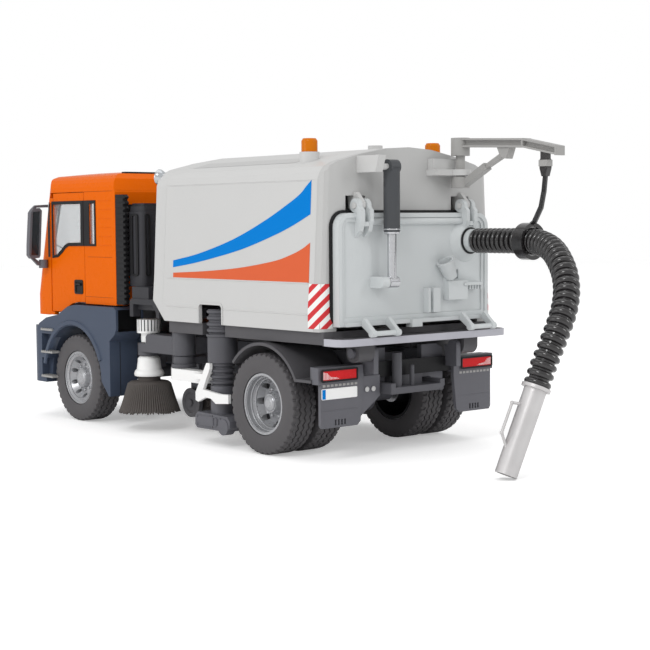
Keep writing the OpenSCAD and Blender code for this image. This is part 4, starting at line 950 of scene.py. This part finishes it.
class SWEEP_OT_cab(bpy.types.Operator):
    """Window rubbers, panel lines, handles, wipers, lamps and mirror faces of the cab. Places are given from the
    front axle."""

    bl_idname = "sweep.cab"
    bl_label = "Cab"

    HALF = 76.0
    CORNER = 14.0
    NOSE = 65.0
    SCREEN_FOOT = (60.0, 117.0)
    SCREEN_HEAD = (47.5, 170.0)

    def execute(self, context):
        self.windows()
        self.panel_lines()
        self.ducts()
        self.handles()
        self.front()
        self.mirrors()
        return {"FINISHED"}

    def ahead(self, points):
        """Places given from the front axle, as from the rear one."""
        return np.asarray(points, float) + (0, WHEELBASE, 0)

    def bar(self, low, high):
        """Plain box between two corners given from the front axle."""
        return block(self.ahead(low), self.ahead(high))

    def screen_y(self, z):
        """Front face of the cab at a height on the windscreen."""
        (y0, z0), (y1, z1) = self.SCREEN_FOOT, self.SCREEN_HEAD
        return y0 + (z - z0) * (y1 - y0) / (z1 - z0)

    def side_x(self, y, z):
        """Half width of the cab: flat, then round the front corner."""
        into = np.clip(y - self.screen_y(z) + self.CORNER, 0, self.CORNER)
        return self.HALF - self.CORNER + np.sqrt(self.CORNER**2 - into**2)

    def on_side(self, outline, off=0.05):
        """Outline of (y, z) laid on the left side of the cab."""
        y, z = np.asarray(outline, float).T
        return self.ahead(np.stack([-self.side_x(y, z) - off, y, z], 1))

    def on_screen(self, outline, off=0.1):
        """Outline of (x, z) laid on the windscreen."""
        x, z = np.asarray(outline, float).T
        return self.ahead(np.stack([x, self.screen_y(z) + off, z], 1))

    def windows(self):
        """Rubbers round the door windows and the quarter windows, and down the front pillars."""
        lift = 0.5
        pane = [(-8.5, 136), (10, 135.6), (15, 133.8), (20.5, 130), (26, 126.8), (31.5, 126)]
        pane += [(31.5, 165), (-9, 165)]
        rim = [(-12.6, 133.4), (9.4, 133.2), (14, 131.4), (19, 127.8), (25, 124.6), (33.4, 123.8)]
        rim += [(33.4, 167.4), (-12.6, 167.4)]
        door = bead(self.on_side(pane), self.on_side(rim), lift, TO_LEFT)
        pane = [(-28, 135), (-21, 135), (-21, 165), (-28, 165)]
        rim = [(-29.8, 133.4), (-13.4, 133.4), (-13.4, 167.4), (-29.8, 167.4)]
        quarter = bead(self.on_side(pane), self.on_side(rim), lift, TO_LEFT)
        for side, parts in (("left", (door, quarter)), ("right", (mirrored(door), mirrored(quarter)))):
            rubber("door_rubber_" + side, parts[:1], "door_" + side)
            rubber("quarter_rubber_" + side, parts[1:], "cab")
        heights = np.linspace(124.5, 167, 12)
        columns = [self.on_side([(y, z) for z in heights], 0.25) for y in (36.8, 38.4, 40)]
        rubber("pillar_rubbers", both([surface(np.stack(columns))]), "cab")

    def panel_lines(self):
        """Seams across the cab's rear quarters and the low ribs between them."""
        rows = ((-51.5, -18, 125.3), (-52, -13.5, 173.9), (-52, -14, 95.5))
        seams = [strip(self.on_side([(a, z), (b, z)], 0.0), 0.18, 0.06, TO_LEFT) for a, b, z in rows]
        heights = np.linspace(134, 167, 6)
        ribs = [strip(self.on_side([(-50, z), (-33, z)], 0.0), 0.35, 0.16, TO_LEFT) for z in heights]
        fitting("cab_seams", both(seams), "seam_orange", "cab")
        fitting("cab_ribs", both(ribs), "orange_plastic", "cab")

    def ducts(self):
        """Plain strips up the rear corners of the cab whose back face is ribbed by a sine of the height, panels
        with a raised slot beside them, and a low trim across the rear of the roof."""
        depth, pitch = 0.75, 4
        z = np.linspace(91, 171, 161)[:, None]
        rib = depth * np.clip(np.sin(z / pitch * 2 * np.pi) * 1.6, -1, 1)
        # x, y and share of the ribs round the strip
        loop = [(-71.5, -56.2, 0), (-71.5, -66.9, 1), (-75.0, -67.0, 1), (-75.8, -66.2, 0), (-75.8, -56.2, 0)]
        grid = np.concatenate([np.stack([np.full_like(z, x), y - k * rib, z], -1) for x, y, k in loop], 1)
        ends = [np.tile(grid[k].mean(0), (1, len(loop), 1)) for k in (0, -1)]
        parts = [surface(self.ahead(np.concatenate([ends[0], grid, ends[1]])), close_columns=True)]
        parts.append(self.bar((-68.5, -58.5, 112), (-60, -56.1, 164)))
        inner = rounded_loop((-65.6, 119), (-63.2, 157), 1.1)
        outer = rounded_loop((-66.6, 118), (-62.2, 158), 2.1)
        parts.append(border(inner, outer, WHEELBASE - 58.5, 0.8))
        parts = both(parts) + [self.bar((-60, -46.5, 186.6), (60, -41, 188.3))]
        self.column_slots()
        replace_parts(rubber("duct_ribs", parts, "cab"), "cab_ducts")

    def column_slots(self):
        """Raised rounded loops on the two outer faces of the air intake column."""
        lift, widen = 0.9, 2.2
        loops = rounded_loop((1.2, 113.2), (3.2, 155.8), 1.0), rounded_loop((0, 112), (4.4, 157), 2.0)
        inner, outer = [p - (69.2, 0) for p in loops]
        back = border(inner, outer, WHEELBASE - 84.0, lift)
        side = [self.ahead([(-71.0, y * widen - 79, z) for y, z in p]) for p in loops]
        parts = [back, bead(*side, lift, TO_LEFT)]
        rubber("column_slots", parts, "chassis")

    def handles(self):
        """Cups in the doors, each with a bar across it."""
        cup = rounded_loop((-10.4, 97), (1.5, 107.8), 1.6)
        inner = rounded_loop((-8.8, 98.4), (-0.2, 106.4), 1.0)
        well = bead(self.on_side(inner), self.on_side(cup), 0.55, TO_LEFT)
        floor = fan(self.on_side(inner, 0.06), self.on_side([(-4.5, 102.4)], 0.06))
        grip = tube(self.on_side([(-8.6, 104.2), (-6, 104.6), (-3, 104.6), (-0.4, 104.2)], 0.9), 0.85, 14)
        left = [well, floor, grip]
        for side, parts in (("left", left), ("right", [mirrored(p) for p in left])):
            rubber("handle_" + side, parts, "door_" + side)

    def front(self):
        """Rubber round the windscreen, two wipers, lamp reflectors and grille bars on the face of the cab."""
        pane = self.on_screen([(-60.5, 122), (60.5, 122), (58.5, 168), (-58.5, 168)])
        rim = self.on_screen([(-62, 119.6), (62, 119.6), (60.5, 169.6), (-60.5, 169.6)])
        trim = [bead(pane, rim, 0.5, (0, 1, 0.2))]
        for x in (-8, 42):
            arm = self.on_screen([(x, 119.5), (x - 19, 126), (x - 38, 128)], 1.6)
            blade = self.on_screen([(x - 54, 135), (x - 38, 128), (x - 22, 123)], 1.0)
            trim += [tube(smooth_line(arm, 12), 0.55, 10), tube(smooth_line(blade, 12), 0.4, 8)]
            trim.append(disc(self.on_screen([(x, 119.5)], 0.0)[0], (0, 0.97, 0.23), 1.6, 1.8, 20))
        rubber("screen_rubbers", trim, "cab")
        lenses = [
            disc(self.ahead((x, self.NOSE - 0.6, 51)), TO_FRONT, radius, 0.9, 36, 0.5)
            for x, radius in ((-49, 5.2), (-59.5, 4.6))
        ]
        fitting("lamp_lenses", both(lenses), "mirror_silver", "chassis")
        self.bumper(self.NOSE)
        back, face = self.NOSE - 0.9, self.NOSE + 0.1
        bars = [self.bar((-38, back, z), (38, face, z + 1.0)) for z in (84, 91, 98, 105.4)]
        fitting("grille_bars", bars, "mirror_silver", "cab", False)

    def bumper(self, nose):
        """Indicators, fog lamps, slats in the lower opening and a blank plate on the front bumper."""
        amber = self.bar((-65.4, nose - 0.6, 43), (-64.4, nose + 0.1, 59))
        fog = disc(self.ahead((-54, nose, 34.5)), TO_FRONT, 4.0, 0.7, 36, 0.5)
        slats = [self.bar((-29.8, nose - 1.9, z), (29.8, nose - 0.8, z + 1.8)) for z in (36, 40, 52, 55.6)]
        inner = rounded_loop((-0.2, 47), (0.2, 47.4), 0.05, 4)
        outer = rounded_loop((-26, 43.6), (26, 51), 0.8, 4)
        plate = border(inner, outer, WHEELBASE + nose - 0.9, 0.5, TO_FRONT)
        for name, parts, material, slot in (
            ("front_indicators", both([amber]), "lamp_amber", "lamp_amber"),
            ("fog_lamps", both([fog]), "lamp_clear", "lamp_clear"),
            ("bumper_slats", slats, "rubber_black", "dark_plastic"),
            ("front_plate", [plate], "white_plastic", "white_plastic"),
        ):
            fitting(name, parts, material, "chassis")

    def mirrors(self):
        """Dark glass on the rear faces of the two mirrors."""
        outline = [(-85.2, 126.2), (-91.4, 126.2), (-89.4, 159.3), (-83.4, 159.8)]
        face = upright(outline, WHEELBASE + 39.65)
        fitting("mirror_faces", both([fan(face, face.mean(0))]), "mirror_dark", "cab")


class SWEEP_OT_container(bpy.types.Operator):
    """Wall beads, cut rims, rear seal, pierced cover with painted shade in its holes, work lamp, hose port, roof
    bands of painted shade and painted highlight along the platform edge of the container"""

    bl_idname = "sweep.container"
    bl_label = "Container"

    def execute(self, context):
        self.wall_beads()
        self.seal()
        self.cover_holes()
        self.work_lamp()
        self.port_ring()
        self.roof_bands()
        self.platform_edge()
        return {"FINISHED"}

    def on_wall(self, outline):
        """Outline of (y, z) laid on the left wall."""
        y, z = np.asarray(outline, float).T
        return np.stack([-wall_x(z), y, z], 1)

    def wall_beads(self):
        """Long beads on the side walls, and the raised rim of the cut above the wheels."""
        back, front = -44, 108

        def line(start, end, z, half, lift, steps=2):
            """Bead along the left wall at a height."""
            run = [(y, z) for y in np.linspace(start, end, steps)]
            return strip(self.on_wall(run), half, lift, TO_LEFT)

        hole = [(44.0, 82.2), (44.0, 93.5), (45.5, 95), (68, 95), (69.5, 93.5), (69.5, 82.2)]
        rim = [(42.6, 82.2), (42.6, 94.2), (44.8, 96.4), (68.7, 96.4), (70.9, 94.2), (70.9, 82.2)]
        beads = [
            line(back, front, 112.0, 0.55, 0.28, 20),
            line(back, 42.6, 92.6, 0.55, 0.28),
            line(71.2, front, 92.6, 0.55, 0.28),
            bead(self.on_wall(hole), self.on_wall(rim), 0.55, TO_LEFT, closed=False),
            line(back, front, 175.6, 0.3, 0.14, 20),
        ]
        fitting("wall_beads", both(beads), "light_plastic", "container")

    def seal(self):
        """Black rubber round the tailgate opening, a rounded loop seen past the edge of the gate."""
        loop = rounded_loop((-66.2, 84.2), (66.2, 155.6), 9.0, 8)
        wide = rounded_loop((-68.6, 83.4), (68.6, 157.2), 10.6, 8)
        rubber("gate_seal", [flipped(border(loop, wide, -56.05, 0.9))], "container")

    def cover_holes(self):
        """Rows of round holes on the left end and the front of the cover, drawn as black dots of painted shade."""
        spots = [
            disc((-68.02, y, z), TO_LEFT, 0.62, 0.05, 12)
            for y in (126.4, 128.6)
            for z in np.arange(120.5, 158.6, 2.4)
        ]
        spots += [
            disc((x, 130.02, z), TO_FRONT, 0.8, 0.05, 12)
            for x in np.arange(-64, 65, 4.0)
            for z in np.arange(121.5, 158, 4.0)
        ]
        rubber("cover_holes", spots, "container")

    def work_lamp(self):
        """Round dish lamp on the front edge of the roof, turned about its own axis."""
        axis = np.array((-0.28, 0.95, 0.12))
        axis /= np.linalg.norm(axis)
        profile = [(0.0, -4.6), (2.2, -4.4), (3.8, -3.2), (5.0, -0.9), (5.5, 0.2)]
        profile += [(5.5, 1.1), (5.0, 1.2), (4.6, 0.6), (0.0, -0.4)]
        lamp = revolved(profile, 40, (-67.5, 127.6, 182.5), axis)
        stem = tube(np.array([(-66.8, 124.2, 182), (-67.2, 125.6, 182.2), (-67.4, 126.6, 182.4)]), 1.5, 14)
        fitting("work_lamp", [lamp, stem], "mirror_silver", "container")

    def port_ring(self):
        """Rubber ring round the hose port on the tailgate."""
        radius = 8.1
        x, _, z = HOSE_ROUTE[0]
        turn = np.linspace(0, 2 * np.pi, 40)
        ring = np.stack([x + radius * np.cos(turn), z + radius * np.sin(turn)], 1)
        rubber("port_ring", [tube(upright(ring, -66.5), 0.75, 12)], "tailgate")

    def roof_bands(self):
        """Long panel of painted shade on each slope of the roof, in a darker copy of the container's plastic, laid
        just over its section line.
        """
        y = np.linspace(-13, 98, 12)[:, None]
        x = np.linspace(46, 60, 8)[None, :]
        z = np.interp(x, (0, 20, 42, 61), (197.5, 196.3, 192.3, 187.5)) + 0.1
        sheet = surface(np.stack(np.broadcast_arrays(-x, y, z), -1))
        fitting("roof_bands", both([sheet]), "rear_plastic", "container")

    def platform_edge(self):
        """Pale edge round the platform under the tailgate, a painted highlight where the edge catches the light:
        its outline carried up from the lower edge to the top, then in by a little over the top face."""
        root = -57.5
        side = [(-74.4, root), (-74.4, -68), (-72, -72), (-67, -74)]
        x, y = np.array(side + [(-x, y) for x, y in side[::-1]]).T
        levels = ((1.002, 73.55), (1.003, 77.6), (1.001, 78.08), (0.985, 78.1))
        rows = [np.column_stack([x * out, (y - root) * out + root, np.full(len(x), z)]) for out, z in levels]
        fitting("platform_edge", [surface(np.stack(rows))], "platform_plastic", "container")


class SWEEP_OT_tail(bpy.types.Operator):
    """Lamp lenses, reflectors, blank plate and lines on the tail board and its flaps, and a black sheet of painted
    shade over the middle of the tail board
    """

    bl_idname = "sweep.tail"
    bl_label = "Tail"

    # rear faces of the flaps, of the lenses and of the lamps' frames
    FLAP, LENS, LAMP = -56.0, -57.2, -57.15

    def execute(self, context):
        wedge = [(-75.0, 57.4), (-75.0, 52.6), (-61.5, 52.6), (-64.0, 53.6), (-69.0, 54.2), (-71.5, 56.6)]
        over = self.LENS - 0.08
        clear = [fan(upright(wedge, over), (-71.5, over, 54.0))]
        ribs = [
            strip([(x, self.LENS, 52.4), (x, self.LENS, 57.6)], 0.4, 0.12, TO_BACK)
            for x in np.arange(-74.4, -48, 1.1)
        ]
        dashes = [self.line(x, x + 2.3, 48.6, 0.75, 0.15) for x in np.arange(-74.6, -45, 3.3)]
        inner = rounded_loop((-75.4, 52.1), (-47.6, 57.9), 0.5, 3)
        outer = rounded_loop((-76.6, 51.0), (-46.4, 59.0), 1.0, 3)
        for name, parts, material, slot in (
            ("lamp_wedges", clear, "white_plastic", "lamp_clear"),
            ("lamp_ribs", ribs, "lamp_red", "lamp_red"),
            ("reflex_strips", dashes, "boom_plastic", "light_plastic"),
            ("lamp_bezels", [border(inner, outer, self.LAMP, 0.45)], "rubber_black", "dark_plastic"),
            ("flap_lines", [self.line(-75.6, -46, 33, 0.3, 0.14)], "dark_plastic", "dark_plastic"),
        ):
            fitting(name, both(parts), material, "chassis")
        studs = [disc((x, self.FLAP, 44), TO_BACK, 1.7, 0.25, 28, 0.35) for x in (-37.5, -32)]
        fitting("reflectors", studs, "light_plastic", "chassis")
        # painted shade: a black sheet over the middle of the tail board, where the frame between the plates lies
        # in shade
        cover = block((-25.5, -53.75, 50.6), (40, -53.52, 60.6))
        fitting("tail_cover", [cover], "rubber_black", "chassis", False)
        self.plate()
        return {"FINISHED"}

    def line(self, start, end, z, half, lift):
        """Low band across a flap."""
        return strip([(start, self.FLAP, z), (end, self.FLAP, z)], half, lift, TO_BACK)

    def plate(self):
        """Blank number plate with a blue end, on the left flap."""
        middle = rounded_loop((-61, 43.2), (-60.8, 43.4), 0.05, 4)
        edge = rounded_loop((-75.6, 40), (-46.2, 46.8), 0.8, 4)
        white = border(middle, edge, self.FLAP, 0.4)
        fitting("number_plate", [white], "white_plastic", "chassis")
        end = upright([(-75.2, 40.4), (-72.4, 40.4), (-75.2, 46.4), (-72.4, 46.4)], self.FLAP - 0.46)
        fitting("plate_end", [surface(end.reshape(2, 2, 3))], "stripe_blue", "chassis")


class SWEEP_OT_rims(bpy.types.Operator):
    """Flange rings, wheel nuts and hub caps on the four rims, with painted shade: black discs in the holes, and
    black liners in the hollow backs of the rear ones
    """

    bl_idname = "sweep.rims"
    bl_label = "Rims"

    # wheel end: nut circle radius, depth of the nut face, nuts, hub radius, hub depth, rings as (radius, depth),
    # and the holes as (count, circle radius, radius, depth of the black discs of painted shade behind them)
    FRONT = (9.6, 7.3, 10, 6.4, 4.0, ((18.6, 1.4), (16.6, 2.9)), (10, 14.2, 1.58, 8.2))
    REAR = (9.2, 12.4, 8, 5.2, 7.0, ((18.6, 2.6), (17.6, 5.6), (16.4, 8.4)), (8, 14.5, 2.18, 14.6))
    # (radius, height) of a nut, and (radius, depth) of the black liner of painted shade down the hollow back of a
    # rear rim
    NUT = ((1.15, -0.5), (1.15, 0.9), (0.75, 1.2), (0.0, 1.2))
    BACK = ((19.9, -42.65), (17.85, -42.65), (17.85, -20.2), (10.15, -22.1), (8.15, -43.9))

    def execute(self, context):
        for corner in ("fl", "fr", "rl", "rr"):
            out = -1.0 if corner[1] == "l" else 1.0
            low, high = map(millimetres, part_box("tyre_" + corner))
            _, y, z = millimetres(AXLE[corner])
            face = np.array([low[0] if out < 0 else high[0], y, z])
            parts, dark = self.trim(face, out, self.FRONT if corner[0] == "f" else self.REAR)
            if corner[0] == "r":
                dark.append(revolved(self.BACK, 64, face, (out, 0, 0)))
            fitting("rim_trim_" + corner, parts, "rim_plastic", "wheel_" + corner)
            # painted shade: black discs in the holes and black liners in the rear rims
            rubber("rim_holes_" + corner, dark, "wheel_" + corner)
        return {"FINISHED"}

    def trim(self, face, out, values):
        """Nuts, hub cap and rings, and the black discs of painted shade in the holes, each at its depth in from
        the tyre's face.
        """
        circle, nut_depth, nuts, cap, cap_depth, rings, holes = values
        count, hole_circle, hole_radius, hole_depth = holes
        axis = (out, 0, 0)

        def inwards(depth, radius=0.0, turn=0.0):
            """Place at a depth in from the face, on a circle about the hub."""
            return face + (-out * depth, radius * math.cos(turn), radius * math.sin(turn))

        dark = [
            disc(inwards(hole_depth, hole_circle, turn), axis, hole_radius, 0.2, 20) for turn in full_turn(count)
        ]
        parts = [
            revolved(self.NUT, 6, inwards(nut_depth, circle, turn + math.pi / nuts), axis)
            for turn in full_turn(nuts)
        ]
        dome = [(cap, -1.0), (cap, 0.4), (cap - 0.5, 1.0), (cap - 2.2, 1.5), (cap - 2.6, 1.2), (0.0, 1.3)]
        parts.append(revolved(dome, 40, inwards(cap_depth), axis))
        for radius, depth in rings:
            bulge = [(-0.5, -0.6), (-0.45, 0.25), (0, 0.5), (0.45, 0.25), (0.5, -0.6)]
            parts.append(revolved(np.array(bulge) + (radius, 0), 96, inwards(depth), axis))
        return parts, dark


class SWEEP_OT_fenders(bpy.types.Operator):
    """Wells lined black as painted shade, step treads, seams and arch lips of the two fenders"""

    bl_idname = "sweep.fenders"
    bl_label = "Fenders"

    def execute(self, context):
        near, deep = WHEELBASE - 60.8, WHEELBASE - 54.1
        # painted shade: a black lining down the hollow in the rear face of each front fender
        mouth = [(-77.9, 71.1), (-58.1, 71.1), (-58.1, 86.9), (-77.9, 86.9)]
        rings = [upright(mouth, near), upright(mouth, deep), upright([(-68, 79)] * 4, deep)]
        well = surface(np.stack(rings), close_columns=True)
        treads = []
        for z in (31.0, 50.0, 67.5):
            top = z + 1.2
            treads.append(block((-81.6, WHEELBASE + 28, z), (-74.2, WHEELBASE + 45, top)))
            treads += [
                block((-81.4, y, top), (-74.4, y + 1.3, z + 1.8)) for y in WHEELBASE + np.arange(29, 44.5, 2.9)
            ]
        seam_y = WHEELBASE - 52
        seam = strip([(-71, seam_y, 24), (-71, seam_y, 63)], 0.3, 0.08, TO_BACK)
        radius, axle_z = 42.2, 33
        turn = np.radians(np.linspace(12, 158, 60))
        y, z = WHEELBASE + radius * np.cos(turn), axle_z + radius * np.sin(turn)
        lip = strip(np.stack([np.full(60, -80.0), y, z], 1), 2.0, 1.0, TO_LEFT)
        for name, parts, material in (
            ("fender_wells", [well], "rubber_black"),
            ("step_treads", treads, "boom_plastic"),
            ("fender_seams", [seam], "rubber_black"),
            ("fender_lips", [lip], "slate_plastic"),
        ):
            fitting(name, both(parts), material, "chassis", False)
        return {"FINISHED"}


class SWEEP_OT_arm(bpy.types.Operator):
    """Clip on the strap of the hose arm and collar at the mouth of the lift cylinder"""

    bl_idname = "sweep.arm"
    bl_label = "Arm"

    def execute(self, context):
        clip = block((34.4, -142.4, 183.2), (39.6, -135.6, 187.2))
        fitting("strap_clip", [clip], "boom_plastic", "boom", False)
        x, y, _ = PIVOT["ram_swing"]
        foot = millimetres((x, y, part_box("ram_barrel")[0].z))
        profile = [(3.2, 0.1), (4.6, 0.1), (4.9, 0.5), (4.9, 2.6), (5.3, 2.7), (5.3, 3.4), (5.0, 3.6)]
        collar = revolved(profile, 36, foot, (0, 0, 1))
        fitting("ram_collar", [collar], "rod_plastic", "ram_barrel")
        return {"FINISHED"}


class SWEEP_PT_panel(bpy.types.Panel):
    """Steps of the build, in order"""

    bl_label = "Sweeper"
    bl_space_type = "VIEW_3D"
    bl_region_type = "UI"
    bl_category = "Sweeper"

    def draw(self, context):
        for operator in OPERATORS:
            self.layout.operator(operator.bl_idname)


SETTINGS = {
    "sweep_paint": PaintSettings,
    "sweep_stage": StageSettings,
    "sweep_hose": HoseSettings,
    "sweep_tyres": TyreSettings,
    "sweep_brushes": BrushSettings,
}
OPERATORS = (
    SWEEP_OT_plastics,
    SWEEP_OT_stage,
    SWEEP_OT_hose,
    SWEEP_OT_tyres,
    SWEEP_OT_brushes,
    SWEEP_OT_decals,
    SWEEP_OT_cab,
    SWEEP_OT_container,
    SWEEP_OT_tail,
    SWEEP_OT_rims,
    SWEEP_OT_fenders,
    SWEEP_OT_arm,
)


def register():
    for cls in (*SETTINGS.values(), *OPERATORS, SWEEP_PT_panel):
        bpy.utils.register_class(cls)
    for name, cls in SETTINGS.items():
        setattr(bpy.types.Scene, name, PointerProperty(type=cls))


def unregister():
    for name in SETTINGS:
        delattr(bpy.types.Scene, name)
    for cls in (SWEEP_PT_panel, *reversed(OPERATORS), *reversed(SETTINGS.values())):
        bpy.utils.unregister_class(cls)


def main():
    register()
    bpy.ops.sweep.plastics()
    bpy.ops.sweep.stage()
    bpy.ops.sweep.hose()
    bpy.ops.sweep.tyres()
    bpy.ops.sweep.brushes()
    bpy.ops.sweep.decals()
    bpy.ops.sweep.cab()
    bpy.ops.sweep.container()
    bpy.ops.sweep.tail()
    bpy.ops.sweep.rims()
    bpy.ops.sweep.fenders()
    bpy.ops.sweep.arm()


if __name__ == "__main__":
    main()
